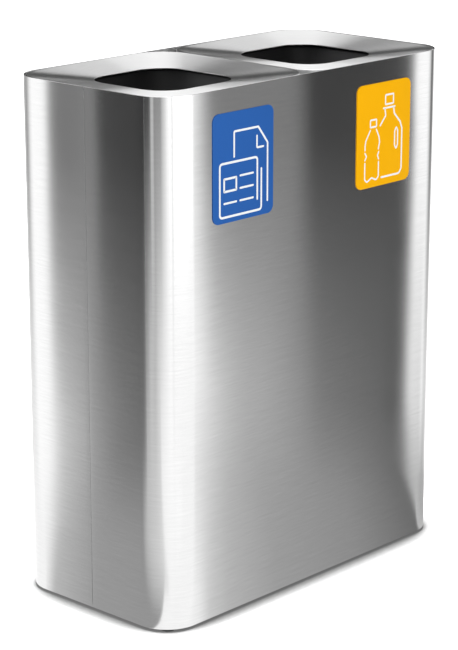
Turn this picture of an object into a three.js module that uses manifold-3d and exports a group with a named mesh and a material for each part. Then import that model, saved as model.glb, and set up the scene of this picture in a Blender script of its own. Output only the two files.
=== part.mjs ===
// Double recycling bin: a brushed-steel sleeve with two lift-off dished lids, each over its own
// lift-out liner. Millimetres; X along the length, Y through the depth with the front at -Y, Z up,
// and the origin on the floor below the middle of the bin.
import * as THREE from "three";
import { mergeVertices } from "three/addons/utils/BufferGeometryUtils.js";
import Module from "manifold-3d";

const wasm = await Module();
wasm.setup();

// ---------- Driving dimensions ----------

// Shell: one sheet wrapped round a rounded rectangle.
const LENGTH = 700;
const DEPTH = 350;
const HEIGHT = 875;
const CORNER_RADIUS = 60;
const SHELL_SHEET = 1.2;
const SHELL_LIFT = 5; // the shell's lower edge above the floor
const SEAM_GAP = 0.6; // between the sheet's two edges
const SEAT_GAP = 0.3; // between a piece and what it touches

// Strip behind the seam.
const STRIP_WIDTH = 30;
const STRIP_SHEET = 1.5;

// Base pan.
const PAN_LIFT = 8; // the pan's underside above the floor
const PAN_SHEET = 2;
const PAN_FLANGE = 25; // height of the upturned edge, outside
const PAN_BEND_INSIDE = 1.5;

// Lids.
const LID_SHEET = 1.2;
const LID_CLEARANCE = 0.8; // lid to the shell's inner face
const LID_SPACING = 1; // between the two lids
const LID_BELOW_RIM = 0.5; // the lid's highest line below the shell's top edge
const LID_SKIRT = 20;
const LID_BEND_INSIDE = 0.8;
const LID_DISH = 9.5; // fall from the lid's edge to its hole
const HOLE_SIDE = 185;
const HOLE_RADIUS = 50;

// Angles and channel that carry the lids.
const REST_SHEET = 1.5;
const REST_DEPTH = 18; // inward leg
const REST_DROP = 25; // downward leg
const REST_LENGTH = 200;
const RAIL_WIDTH = 36;
const RAIL_SHEET = 1.5;
const RAIL_DROP = 25;

// Divider between the compartments.
const DIVIDER_SHEET = 1;
const DIVIDER_FLANGE = 15;

// Liners.
const LINER_WALL = 3;
const LINER_CLEARANCE = 2.5; // rim to the lid rests beside it
const LINER_BELOW_REST = 5; // rim below the top of the lid rests
const LINER_RIM_WIDTH = 7; // how far the rim stands out from the wall
const LINER_LIP = 12; // the rim's turned-down edge
const LINER_TAPER = 14; // draw-in of each wall from rim to floor
const LINER_CORNER = 60; // corner radius at the rim
const LINER_FLOOR_RADIUS = 10;
const HAND_SLOT_LENGTH = 100;
const HAND_SLOT_HEIGHT = 25;
const HAND_SLOT_RADIUS = 10;
const HAND_SLOT_BELOW_RIM = 42; // rim to the slot's upper edge

// Sign plates.
const SIGN_WIDTH = 140;
const SIGN_HEIGHT = 175;
const SIGN_SHEET = 1.2;
const SIGN_RADIUS = 13;
const SIGN_BELOW_RIM = 38;

// Feet and their fasteners.
const FOOT_RADIUS = 12.5;
const FOOT_DRAFT = 1; // draw-in of the foot towards the floor
const FOOT_MARGIN = 2; // foot to the shell's inner face, on the corner's diagonal
const SCREW_RADIUS = 3;
const SCREW_HEAD_RADIUS = 5.5;
const SCREW_HEAD_HEIGHT = 2.8;
const SCREW_HEAD_RECESS = 0.6; // head above the floor
const SCREW_HEAD_EDGE = 0.8;
const SCREW_END_ABOVE_NUT = 1.5;
const NUT_HEIGHT = 5;
const NUT_ACROSS_FLATS = 10;

// How finely round stretches are divided.
const CORNER_STEPS = 10;
const BEND_STEPS = 3;
const FOOT_SIDES = 24;
const SCREW_SIDES = 16;
const LEAST_RADIUS = 1;
const CUT_PAST = 5; // how far a cutting tool runs past what it cuts

// ---------- Derived places ----------

const innerHalfLength = LENGTH / 2 - SHELL_SHEET;
const innerHalfDepth = DEPTH / 2 - SHELL_SHEET;
const innerCorner = CORNER_RADIUS - SHELL_SHEET;

const lidTop = HEIGHT - LID_BELOW_RIM;
const lidSkirtBottom = lidTop - LID_SKIRT;
const lidHalfLength = (innerHalfLength - LID_CLEARANCE - LID_SPACING / 2) / 2;
const lidHalfDepth = innerHalfDepth - LID_CLEARANCE;
const lidCorner = innerCorner - LID_CLEARANCE;
const lidCentre = LID_SPACING / 2 + lidHalfLength;

const restTop = lidSkirtBottom - SEAT_GAP;
const restLine = SEAT_GAP + REST_DEPTH; // a rest's inner edge from the shell's inner face

const panFloor = PAN_LIFT + PAN_SHEET;
const panTop = PAN_LIFT + PAN_FLANGE;

const linerBase = panFloor + SEAT_GAP;
const linerHeight = restTop - LINER_BELOW_REST - linerBase;
const linerSpaceLow = RAIL_WIDTH / 2;
const linerSpaceHigh = innerHalfLength - restLine;
const linerCentre = (linerSpaceLow + linerSpaceHigh) / 2;
const linerHalfLength = (linerSpaceHigh - linerSpaceLow) / 2 - LINER_CLEARANCE;
const linerHalfDepth = innerHalfDepth - restLine - LINER_CLEARANCE;

const footTop = PAN_LIFT - SEAT_GAP;
const footReach = (innerCorner - FOOT_MARGIN - FOOT_RADIUS) / Math.SQRT2;
const footX = LENGTH / 2 - CORNER_RADIUS + footReach;
const footY = DEPTH / 2 - CORNER_RADIUS + footReach;
const screwHole = SCREW_RADIUS + SEAT_GAP;
const screwHeadTop = SCREW_HEAD_RECESS + SCREW_HEAD_HEIGHT;
const nutBase = panFloor + SEAT_GAP;

// ---------- Outlines, lofts and cuts ----------

// A rounded rectangle about the origin, anticlockwise.
function roundedOutline(halfX, halfY, radius) {
  const corners = [[1, 1], [-1, 1], [-1, -1], [1, -1]];
  const points = [];
  corners.forEach(([sideX, sideY], quarter) => {
    for (let step = 0; step <= CORNER_STEPS; step += 1) {
      const angle = (quarter + step / CORNER_STEPS) * (Math.PI / 2);
      const x = sideX * (halfX - radius) + radius * Math.cos(angle);
      const y = sideY * (halfY - radius) + radius * Math.sin(angle);
      points.push(new THREE.Vector2(x, y));
    }
  });
  return points;
}

// A flat outline, with or without holes in it, raised between two heights.
function raise(outline, low, high, holes = []) {
  const shape = new THREE.Shape(outline);
  shape.holes = holes.map((hole) => new THREE.Path(hole));
  const geometry = new THREE.ExtrudeGeometry(shape, { depth: high - low, bevelEnabled: false });
  return geometry.translate(0, 0, low);
}

// A section drawn as (along X, up) and run along Y, centred on the origin.
function runAlongDepth(section, length) {
  const points = section.map(([x, z]) => new THREE.Vector2(x, z));
  return raise(points, -length / 2, length / 2).rotateX(Math.PI / 2);
}

// A skin through rings of equal count, each anticlockwise: up the outside and down the inside.
// The last ring joins the first, or both ends are closed with a flat floor.
function loft(rings, ends) {
  const count = rings[0].length;
  const positions = rings.flat().flatMap((point) => point.toArray());
  const faces = [];
  const spans = ends === "joined" ? rings.length : rings.length - 1;
  for (let ring = 0; ring < spans; ring += 1) {
    const low = ring * count;
    const high = ((ring + 1) % rings.length) * count;
    for (let point = 0; point < count; point += 1) {
      const next = (point + 1) % count;
      faces.push(low + point, low + next, high + next);
      faces.push(low + point, high + next, high + point);
    }
  }
  if (ends === "floored") {
    const last = (rings.length - 1) * count;
    const under = positions.length / 3;
    positions.push(0, 0, rings[0][0].z);
    positions.push(0, 0, rings[rings.length - 1][0].z);
    for (let point = 0; point < count; point += 1) {
      const next = (point + 1) % count;
      faces.push(under, next, point);
      faces.push(under + 1, last + point, last + next);
    }
  }
  const geometry = new THREE.BufferGeometry();
  geometry.setAttribute("position", new THREE.Float32BufferAttribute(positions, 3));
  geometry.setIndex(faces);
  return geometry;
}

// A ring of a loft: a rounded rectangle drawn in from a parent outline, at a height.
function ringInside({ halfX, halfY, radius }, inset, z) {
  const corner = Math.max(radius - inset, LEAST_RADIUS);
  const outline = roundedOutline(halfX - inset, halfY - inset, corner);
  return outline.map((point) => new THREE.Vector3(point.x, point.y, z));
}

// The (inset, height) pairs of a quarter bend from one angle to another, about a centre.
function bend(centreInset, centreZ, radius, fromAngle, toAngle) {
  const pairs = [];
  for (let step = 0; step <= BEND_STEPS; step += 1) {
    const angle = fromAngle + ((toAngle - fromAngle) * step) / BEND_STEPS;
    pairs.push([centreInset - radius * Math.cos(angle), centreZ + radius * Math.sin(angle)]);
  }
  return pairs;
}

// A closed solid made ready for cutting.
function solid(geometry) {
  const bare = geometry.clone();
  bare.deleteAttribute("normal");
  bare.deleteAttribute("uv");
  const merged = mergeVertices(bare);
  const vertProperties = new Float32Array(merged.attributes.position.array);
  const triVerts = new Uint32Array(merged.index.array);
  return new wasm.Manifold(new wasm.Mesh({ numProp: 3, vertProperties, triVerts }));
}

// One geometry less the others.
function cut(geometry, tools) {
  const result = tools.reduce((left, tool) => left.subtract(solid(tool)), solid(geometry));
  const mesh = result.getMesh();
  const cutGeometry = new THREE.BufferGeometry();
  cutGeometry.setAttribute("position", new THREE.BufferAttribute(mesh.vertProperties, 3));
  cutGeometry.setIndex(new THREE.BufferAttribute(mesh.triVerts, 1));
  return cutGeometry;
}

// A round bar between two heights, for cutting holes.
function bar(radius, low, high) {
  const geometry = new THREE.CylinderGeometry(radius, radius, high - low, SCREW_SIDES);
  return geometry.rotateX(Math.PI / 2).translate(0, 0, (low + high) / 2);
}

// A turned piece: (radius, height) points from the lowest round to the highest.
function turned(profile, sides) {
  const points = profile.map(([radius, z]) => new THREE.Vector2(radius, z));
  return new THREE.LatheGeometry(points, sides).rotateX(Math.PI / 2);
}

// ---------- Finishes ----------

const finishes = {
  brushedSteel: { color: 0xb4b4b4, roughness: 0.3, metalness: 1 },
  plainSteel: { color: 0x9a9c9e, roughness: 0.45, metalness: 1 },
  zincSteel: { color: 0xa8a79e, roughness: 0.4, metalness: 1 },
  blackPlastic: { color: 0x161616, roughness: 0.55, metalness: 0 },
  blackRubber: { color: 0x1b1b1c, roughness: 0.85, metalness: 0 },
  blueSign: { color: 0x3561b5, roughness: 0.4, metalness: 0 },
  amberSign: { color: 0xf7b514, roughness: 0.4, metalness: 0 },
};

function piece(name, geometry, finish) {
  const mesh = new THREE.Mesh(geometry, new THREE.MeshStandardMaterial(finishes[finish]));
  mesh.name = name;
  return mesh;
}

// ---------- Pieces ----------

// The wrapped sheet, slit at the seam in the middle of the left end.
function bodyShell() {
  const outside = roundedOutline(LENGTH / 2, DEPTH / 2, CORNER_RADIUS);
  const inside = roundedOutline(innerHalfLength, innerHalfDepth, innerCorner);
  const sleeve = raise(outside, SHELL_LIFT, HEIGHT, [inside]);
  const slitLength = SHELL_SHEET + 2 * CUT_PAST;
  const slit = new THREE.BoxGeometry(slitLength, SEAM_GAP, HEIGHT + 2 * CUT_PAST);
  slit.translate(SHELL_SHEET / 2 - LENGTH / 2, 0, HEIGHT / 2);
  return piece("body_shell", cut(sleeve, [slit]), "brushedSteel");
}

// Flat strip behind the seam, from the pan's edge up to the lid rest.
function seamStrip() {
  const low = panTop + SEAT_GAP;
  const high = restTop - REST_DROP - SEAT_GAP;
  const mesh = piece(
    "seam_strip",
    new THREE.BoxGeometry(STRIP_SHEET, STRIP_WIDTH, high - low),
    "plainSteel",
  );
  mesh.position.set(SEAT_GAP + STRIP_SHEET / 2 - innerHalfLength, 0, (low + high) / 2);
  return mesh;
}

// Where the feet and their screws stand: three along the front and three along the back.
function footPlaces() {
  const columns = [["left", -footX], ["middle", 0], ["right", footX]];
  const rows = [["front", -footY], ["rear", footY]];
  return rows.flatMap(([row, y]) => columns.map(([column, x]) => ({ name: `${row}_${column}`, x, y })));
}

// Bottom tray with an upturned edge and a hole over each foot.
function basePan() {
  const outline = {
    halfX: innerHalfLength - SEAT_GAP,
    halfY: innerHalfDepth - SEAT_GAP,
    radius: innerCorner - SEAT_GAP,
  };
  const bendOutside = PAN_BEND_INSIDE + PAN_SHEET;
  const bendHeight = PAN_LIFT + bendOutside;
  const profile = [
    ...bend(bendOutside, bendHeight, bendOutside, -Math.PI / 2, 0),
    [0, panTop],
    [PAN_SHEET, panTop],
    ...bend(bendOutside, bendHeight, PAN_BEND_INSIDE, 0, -Math.PI / 2),
  ];
  const tray = loft(profile.map(([inset, z]) => ringInside(outline, inset, z)), "floored");
  const holes = footPlaces().map(({ x, y }) =>
    bar(screwHole, PAN_LIFT - CUT_PAST, panFloor + CUT_PAST).translate(x, y, 0),
  );
  return piece("base_pan", cut(tray, holes), "plainSteel");
}

// A rubber foot with a recess for the screw's head and a hole for its shank.
function foot(name) {
  const recess = SCREW_HEAD_RADIUS + SEAT_GAP;
  const recessTop = screwHeadTop + SEAT_GAP;
  const profile = [
    [recess, 0],
    [FOOT_RADIUS - FOOT_DRAFT, 0],
    [FOOT_RADIUS, footTop],
    [screwHole, footTop],
    [screwHole, recessTop],
    [recess, recessTop],
    [recess, 0],
  ];
  return piece(name, turned(profile, FOOT_SIDES), "blackRubber");
}

// A pan-head screw, its head below the foot and its end above the nut.
function footScrew(name) {
  const end = nutBase + NUT_HEIGHT + SCREW_END_ABOVE_NUT;
  const profile = [
    [0, SCREW_HEAD_RECESS],
    [SCREW_HEAD_RADIUS - SCREW_HEAD_EDGE, SCREW_HEAD_RECESS],
    [SCREW_HEAD_RADIUS, SCREW_HEAD_RECESS + SCREW_HEAD_EDGE],
    [SCREW_HEAD_RADIUS, screwHeadTop],
    [SCREW_RADIUS, screwHeadTop],
    [SCREW_RADIUS, end],
    [0, end],
  ];
  return piece(name, turned(profile, SCREW_SIDES), "zincSteel");
}

// A hexagon nut on the pan's floor.
function footNut(name) {
  const hexagonSides = 6;
  const acrossCorners = NUT_ACROSS_FLATS / Math.cos(Math.PI / hexagonSides);
  const corner = acrossCorners / 2;
  const block = new THREE.CylinderGeometry(corner, corner, NUT_HEIGHT, hexagonSides);
  block.rotateX(Math.PI / 2).translate(0, 0, nutBase + NUT_HEIGHT / 2);
  const bore = bar(screwHole, nutBase - CUT_PAST, nutBase + NUT_HEIGHT + CUT_PAST);
  return piece(name, cut(block, [bore]), "zincSteel");
}

// Each foot with its screw and nut, in a group that stands at the foot's place.
function feet() {
  return footPlaces().map(({ name, x, y }) => {
    const group = new THREE.Group();
    group.add(foot(`foot_${name}`), footScrew(`foot_screw_${name}`), footNut(`foot_nut_${name}`));
    group.position.set(x, y, 0);
    return group;
  });
}

// Upright sheet between the compartments, its two edges folded along the long walls.
function dividerPanel() {
  const reach = innerHalfDepth - SEAT_GAP;
  const half = DIVIDER_SHEET / 2;
  const flange = DIVIDER_FLANGE - half;
  const outline = [
    [-half, -reach],
    [flange, -reach],
    [flange, DIVIDER_SHEET - reach],
    [half, DIVIDER_SHEET - reach],
    [half, reach - DIVIDER_SHEET],
    [flange, reach - DIVIDER_SHEET],
    [flange, reach],
    [-half, reach],
  ].map(([x, y]) => new THREE.Vector2(x, y));
  const low = panTop + SEAT_GAP;
  const high = restTop - RAIL_SHEET - SEAT_GAP;
  return piece("divider_panel", raise(outline, low, high), "plainSteel");
}

// Channel open downwards, under the line where the lids meet.
function centreRail() {
  const half = RAIL_WIDTH / 2;
  const section = [
    [-half, -RAIL_DROP],
    [RAIL_SHEET - half, -RAIL_DROP],
    [RAIL_SHEET - half, -RAIL_SHEET],
    [half - RAIL_SHEET, -RAIL_SHEET],
    [half - RAIL_SHEET, -RAIL_DROP],
    [half, -RAIL_DROP],
    [half, 0],
    [-half, 0],
  ];
  const mesh = piece(
    "centre_rail",
    runAlongDepth(section, 2 * (innerHalfDepth - SEAT_GAP)),
    "plainSteel",
  );
  mesh.position.z = restTop;
  return mesh;
}

// A short angle: one leg down the wall at its back, the other reaching inwards under the lid.
// It is drawn for the right end and turned to the wall that carries it.
function lidRest(name, x, y, turn) {
  const section = [
    [-REST_SHEET, -REST_DROP],
    [0, -REST_DROP],
    [0, 0],
    [-REST_DEPTH, 0],
    [-REST_DEPTH, -REST_SHEET],
    [-REST_SHEET, -REST_SHEET],
  ];
  const mesh = piece(name, runAlongDepth(section, REST_LENGTH), "plainSteel");
  mesh.rotation.z = turn;
  mesh.position.set(x, y, restTop);
  return mesh;
}

function lidRests() {
  const endX = innerHalfLength - SEAT_GAP;
  const sideY = innerHalfDepth - SEAT_GAP;
  const sides = [["left", -1], ["right", 1]];
  return sides.flatMap(([side, sign]) => [
    lidRest(`rest_end_${side}`, sign * endX, 0, sign > 0 ? 0 : Math.PI),
    lidRest(`rest_front_${side}`, sign * lidCentre, -sideY, -Math.PI / 2),
    lidRest(`rest_rear_${side}`, sign * lidCentre, sideY, Math.PI / 2),
  ]);
}

// A dished lid: skirt, bent edge and a surface that falls evenly to the rounded-square hole.
function lid(name) {
  const outline = { halfX: lidHalfLength, halfY: lidHalfDepth, radius: lidCorner };
  const hole = { halfX: HOLE_SIDE / 2, halfY: HOLE_SIDE / 2, radius: HOLE_RADIUS };
  const bendOutside = LID_BEND_INSIDE + LID_SHEET;
  const bendHeight = lidTop - bendOutside;
  const outside = [
    [0, lidSkirtBottom],
    ...bend(bendOutside, bendHeight, bendOutside, 0, Math.PI / 2),
  ];
  const inside = [
    ...bend(bendOutside, bendHeight, LID_BEND_INSIDE, Math.PI / 2, 0),
    [LID_SHEET, lidSkirtBottom],
  ];
  const rings = [
    ...outside.map(([inset, z]) => ringInside(outline, inset, z)),
    ringInside(hole, 0, lidTop - LID_DISH),
    ringInside(hole, 0, lidTop - LID_DISH - LID_SHEET),
    ...inside.map(([inset, z]) => ringInside(outline, inset, z)),
  ];
  return piece(name, loft(rings, "joined"), "brushedSteel");
}

// A tapered moulded bin with a turned-down rim and a hand slot in each end wall.
function liner(name) {
  const outline = { halfX: linerHalfLength, halfY: linerHalfDepth, radius: LINER_CORNER };
  const floorInset = LINER_RIM_WIDTH + LINER_TAPER;
  const bendInset = floorInset + LINER_FLOOR_RADIUS;
  const insideBend = LINER_FLOOR_RADIUS - LINER_WALL;
  const rimUnderside = linerHeight - LINER_WALL;
  const lipBottom = linerHeight - LINER_LIP;
  const profile = [
    ...bend(bendInset, LINER_FLOOR_RADIUS, LINER_FLOOR_RADIUS, -Math.PI / 2, 0),
    [LINER_RIM_WIDTH, rimUnderside],
    [LINER_WALL, rimUnderside],
    [LINER_WALL, lipBottom],
    [0, lipBottom],
    ...bend(LINER_WALL, rimUnderside, LINER_WALL, 0, Math.PI / 2),
    [LINER_RIM_WIDTH, linerHeight],
    [LINER_RIM_WIDTH + LINER_WALL, rimUnderside],
    ...bend(bendInset, LINER_FLOOR_RADIUS, insideBend, 0, -Math.PI / 2),
  ];
  const bin = loft(profile.map(([inset, z]) => ringInside(outline, inset, z)), "floored");
  const slotMiddle = linerHeight - HAND_SLOT_BELOW_RIM - HAND_SLOT_HEIGHT / 2;
  const slotReach = linerHalfLength + CUT_PAST;
  const slot = raise(
    roundedOutline(HAND_SLOT_HEIGHT / 2, HAND_SLOT_LENGTH / 2, HAND_SLOT_RADIUS),
    -slotReach,
    slotReach,
  );
  slot.rotateY(Math.PI / 2).translate(0, 0, slotMiddle);
  const mesh = piece(name, cut(bin, [slot]), "blackPlastic");
  mesh.position.z = linerBase;
  return mesh;
}

// A thin rounded plate on the front, centred below its lid's hole.
function sign(name, x, finish) {
  const plate = raise(roundedOutline(SIGN_WIDTH / 2, SIGN_HEIGHT / 2, SIGN_RADIUS), 0, SIGN_SHEET);
  const mesh = piece(name, plate.rotateX(Math.PI / 2), finish);
  mesh.position.set(x, -DEPTH / 2 - SEAT_GAP, HEIGHT - SIGN_BELOW_RIM - SIGN_HEIGHT / 2);
  return mesh;
}

// ---------- The bin ----------

const bin = new THREE.Group();
bin.add(bodyShell(), seamStrip(), basePan(), dividerPanel(), centreRail());
bin.add(...lidRests(), ...feet());
bin.add(sign("sign_paper", -lidCentre, "blueSign"), sign("sign_bottles", lidCentre, "amberSign"));

for (const [side, sign] of [["left", -1], ["right", 1]]) {
  const linerMesh = liner(`liner_${side}`);
  linerMesh.position.x = sign * linerCentre;
  const lidMesh = lid(`lid_${side}`);
  lidMesh.position.x = sign * lidCentre;
  bin.add(linerMesh, lidMesh);
}

export default bin;
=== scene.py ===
"""Double recycling bin: its fine surfaces and finishes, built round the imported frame, in metres.

One brushed-steel sheet is wrapped round a rounded rectangle and meets itself in a seam. Two dished
lids lie flush in its top, each over a black liner, and a sign plate sits below each lid. X runs along
the length, Y through the depth with the front at -Y, and Z up from the floor.
"""

import logging
import math
from dataclasses import dataclass, field
from enum import Enum
from functools import lru_cache
from typing import Callable, Sequence

import bmesh
import bpy
from mathutils import Matrix, Vector


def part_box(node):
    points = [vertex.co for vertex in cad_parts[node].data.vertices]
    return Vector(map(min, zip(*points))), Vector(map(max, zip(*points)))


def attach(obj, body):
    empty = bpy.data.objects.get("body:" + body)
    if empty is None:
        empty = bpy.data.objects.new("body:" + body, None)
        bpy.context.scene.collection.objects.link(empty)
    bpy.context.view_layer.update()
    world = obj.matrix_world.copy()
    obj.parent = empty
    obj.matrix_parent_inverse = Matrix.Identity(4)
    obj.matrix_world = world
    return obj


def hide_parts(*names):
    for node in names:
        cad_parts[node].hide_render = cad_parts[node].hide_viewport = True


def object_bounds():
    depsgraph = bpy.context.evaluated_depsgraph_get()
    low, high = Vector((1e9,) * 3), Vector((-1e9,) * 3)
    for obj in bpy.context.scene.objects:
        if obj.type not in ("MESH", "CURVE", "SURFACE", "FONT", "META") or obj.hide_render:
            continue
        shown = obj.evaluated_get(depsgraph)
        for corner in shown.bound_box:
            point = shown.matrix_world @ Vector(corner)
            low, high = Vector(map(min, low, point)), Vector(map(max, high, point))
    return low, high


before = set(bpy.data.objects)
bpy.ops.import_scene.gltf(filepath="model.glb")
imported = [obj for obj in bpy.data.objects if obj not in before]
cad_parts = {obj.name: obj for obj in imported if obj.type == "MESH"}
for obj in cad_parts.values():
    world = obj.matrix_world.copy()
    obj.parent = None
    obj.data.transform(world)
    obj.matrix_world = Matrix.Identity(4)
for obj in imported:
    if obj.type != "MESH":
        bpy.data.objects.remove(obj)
CAD_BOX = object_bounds()

log = logging.getLogger("recycling_bin")

MM = 0.001
TAU = 2 * math.pi
QUARTER = math.pi / 2
GRAIN = "grain"
CARD_MAP = "card"
SHARP_ANGLE = math.radians(32)
BEVEL_ANGLE = math.radians(60)
MERGE_WITHIN = 1e-7
FOLD_STEPS = 5
TOOL_PAST = 5 * MM
SPIN_SEED = 7
BIN_MIDDLE = 0.44

Point = tuple[float, float]
Stops = Sequence[Point]

NOISE_SPAN: Point = (0.3, 0.7)


class Side(Enum):
    """The two compartments, with the sign of their X."""

    LEFT = -1
    RIGHT = 1

    @property
    def word(self) -> str:
        """The side's name as the frame writes it."""
        return self.name.lower()


class Body(Enum):
    """The bodies that pieces ride on."""

    HOUSING = "housing"
    LEFT_LINER = "left_liner"
    RIGHT_LINER = "right_liner"
    LEFT_LID = "left_lid"
    RIGHT_LID = "right_lid"


class Slot(Enum):
    """Names for the material slots."""

    SHELL = "brushed_shell"
    LID = "brushed_lid"
    INNER = "inner_steel"
    ZINC = "zinc_fastener"
    LINER = "liner_plastic"
    RUBBER = "foot_rubber"
    BLUE = "blue_sign"
    AMBER = "amber_sign"


@lru_cache(maxsize=None)
def node_box(node: str) -> tuple[Vector, Vector]:
    """Gives the lowest and highest corners of a CAD node at rest."""
    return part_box(node)


# ---------- Node trees ----------


class Graph:
    """A node tree under construction."""

    def __init__(self, tree: bpy.types.NodeTree) -> None:
        """Starts from an empty tree."""
        self.tree = tree
        tree.nodes.clear()

    def add(self, kind: str, inputs: dict | None = None, **settings: object) -> bpy.types.Node:
        """Adds a node.

        Args:
            kind: The node's type.
            inputs: Values or sockets, by input name or number.
            settings: The node's own properties.

        Returns:
            The new node.
        """
        node = self.tree.nodes.new(kind)
        for name, value in settings.items():
            setattr(node, name, value)
        for key, value in (inputs or {}).items():
            if isinstance(value, bpy.types.Node):
                value = value.outputs[0]
            if isinstance(value, bpy.types.NodeSocket):
                self.tree.links.new(value, node.inputs[key])
            else:
                node.inputs[key].default_value = value
        return node

    def math(self, operation: str, first: object, second: object = 0.0) -> bpy.types.NodeSocket:
        """Adds a Math node and returns its result."""
        node = self.add("ShaderNodeMath", {0: first, 1: second}, operation=operation)
        return node.outputs[0]

    def scaled(self, vector: object, factors: Sequence[float]) -> bpy.types.NodeSocket:
        """Multiplies a vector part by part."""
        node = self.add("ShaderNodeVectorMath", {0: vector, 1: tuple(factors)}, operation="MULTIPLY")
        return node.outputs[0]

    def noise(self, vector: object, scale: object = 1.0, detail: float = 2.0) -> bpy.types.NodeSocket:
        """Adds a noise and returns its value, around 0.5."""
        inputs = {"Vector": vector, "Scale": scale, "Detail": detail}
        return self.add("ShaderNodeTexNoise", inputs).outputs[0]

    def spread(
        self, value: object, low: float, high: float, span: Point = NOISE_SPAN
    ) -> bpy.types.NodeSocket:
        """Maps a value from one span to another.

        Args:
            value: The socket to map.
            low: What the span's lower end becomes.
            high: What the span's upper end becomes.
            span: The part of the value's range that is used.

        Returns:
            The mapped value.
        """
        inputs = {"Value": value, "From Min": span[0], "From Max": span[1], "To Min": low, "To Max": high}
        return self.add("ShaderNodeMapRange", inputs).outputs[0]

    def ramp(self, value: object, stops: Stops) -> bpy.types.NodeSocket:
        """Turns a value into a grey.

        Args:
            value: The socket to turn.
            stops: Pairs of (place, level).

        Returns:
            The grey.
        """
        node = self.add("ShaderNodeValToRGB", {0: value})
        elements = node.color_ramp.elements
        while len(elements) < len(stops):
            elements.new(1.0)
        for element, (place, level) in zip(elements, stops):
            element.position = place
            element.color = (level, level, level, 1.0)
        return node.outputs[0]

    def tinted(self, factor: object, first: Sequence[float], second: Sequence[float]) -> bpy.types.NodeSocket:
        """Mixes two colours by a factor."""
        return self.mixed(factor, (*first, 1.0), (*second, 1.0))

    def mixed(self, factor: object, first: object, second: object) -> bpy.types.NodeSocket:
        """Mixes two colours or colour sockets by a factor."""
        return self.add("ShaderNodeMix", {0: factor, 6: first, 7: second}, data_type="RGBA").outputs[2]

    def captured(
        self, geometry: bpy.types.Node, items: dict[str, tuple[str, bpy.types.NodeSocket]]
    ) -> bpy.types.Node:
        """Keeps values on a geometry, for use after it has changed.

        Args:
            geometry: The geometry.
            items: Each value's kind and socket, by name.

        Returns:
            The capture, whose outputs are the geometry and then the values.
        """
        node = self.add("GeometryNodeCaptureAttribute", {0: geometry})
        for index, (name, (kind, socket)) in enumerate(items.items()):
            node.capture_items.new(kind, name)
            self.tree.links.new(socket, node.inputs[index + 1])
        return node

    def close_geometry(self, geometry: bpy.types.Node, material: bpy.types.NodeSocket) -> None:
        """Ends a Geometry Nodes tree with real meshes of one material.

        Args:
            geometry: The geometry.
            material: The tree's own input for the material.
        """
        real = self.add("GeometryNodeRealizeInstances", {0: geometry})
        dressed = self.add("GeometryNodeSetMaterial", {"Geometry": real, "Material": material})
        self.add("NodeGroupOutput", {0: dressed})

    def mirrored(self, seen: bpy.types.Node) -> bpy.types.NodeSocket:
        """Tells, from a Light Path node, what metal and glass see."""
        return self.math("MAXIMUM", seen.outputs["Is Glossy Ray"], seen.outputs["Is Transmission Ray"])


def shader_graph(name: str) -> tuple[bpy.types.Material, Graph]:
    """Makes an empty material.

    Args:
        name: The material's name.

    Returns:
        The material, and its tree as a graph.
    """
    material = bpy.data.materials.new(name)
    material.use_nodes = True
    return material, Graph(material.node_tree)


def close_surface(graph: Graph, shader: bpy.types.Node) -> None:
    """Joins a shader to the material's output."""
    graph.add("ShaderNodeOutputMaterial", {"Surface": shader})


def close_principled(graph: Graph, colour: object, rough: object, bump: object, **more: object) -> None:
    """Ends a material in a Principled shader.

    Args:
        graph: The material's tree.
        colour: Its base colour.
        rough: Its roughness.
        bump: Its normal.
        more: Other inputs by name, their words joined by underscores.
    """
    inputs = {"Base Color": colour, "Roughness": rough, "Normal": bump}
    inputs.update({name.replace("_", " "): value for name, value in more.items()})
    close_surface(graph, graph.add("ShaderNodeBsdfPrincipled", inputs))


# ---------- Finishes ----------


@dataclass(frozen=True)
class BrushedSteel:
    """Stainless sheet with hairlines, along V of the grain map; the sheen spreads across them, along U."""

    name: str
    level: float = 0.78
    roughness: float = 0.14
    anisotropy: float = 1.0
    hairline_pitch: float = 1.2 * MM
    hairline_length: float = 40 * MM
    hairline_depth: float = 0.03
    streak_pitch: float = 5 * MM
    streak_length: float = 170 * MM
    streak_depth: float = 0.014
    scratch_height: float = 0.0004 * MM
    cloud_scale: float = 7.0
    uneven: float = 0.01

    def material(self) -> bpy.types.Material:
        """Builds the material.

        Returns:
            The material.
        """
        material, graph = shader_graph(self.name)
        grain = graph.add("ShaderNodeUVMap", uv_map=GRAIN)
        fine = graph.scaled(grain, (1 / self.hairline_pitch, 1 / self.hairline_length, 0))
        broad = graph.scaled(grain, (1 / self.streak_pitch, 1 / self.streak_length, 0))
        hairlines = graph.noise(fine, detail=3.0)
        streaks = graph.noise(broad)
        place = graph.add("ShaderNodeTexCoord").outputs["Object"]
        cloud = graph.noise(place, self.cloud_scale)
        hairline_tone = graph.spread(hairlines, 1 - self.hairline_depth, 1 + self.hairline_depth)
        streak_tone = graph.spread(streaks, 1 - self.streak_depth, 1 + self.streak_depth)
        tone = graph.math("MULTIPLY", graph.math("MULTIPLY", hairline_tone, streak_tone), self.level)
        colour = graph.add("ShaderNodeCombineColor", {0: tone, 1: tone, 2: tone})
        rough = graph.spread(cloud, self.roughness - self.uneven, self.roughness + self.uneven)
        bump = graph.add("ShaderNodeBump", {"Distance": self.scratch_height, "Height": hairlines})
        tangent = graph.add("ShaderNodeTangent", direction_type="UV_MAP", uv_map=GRAIN)
        brushed = {"Anisotropic": self.anisotropy, "Tangent": tangent}
        close_principled(graph, colour, rough, bump, Metallic=1.0, **brushed)
        return material


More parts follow.
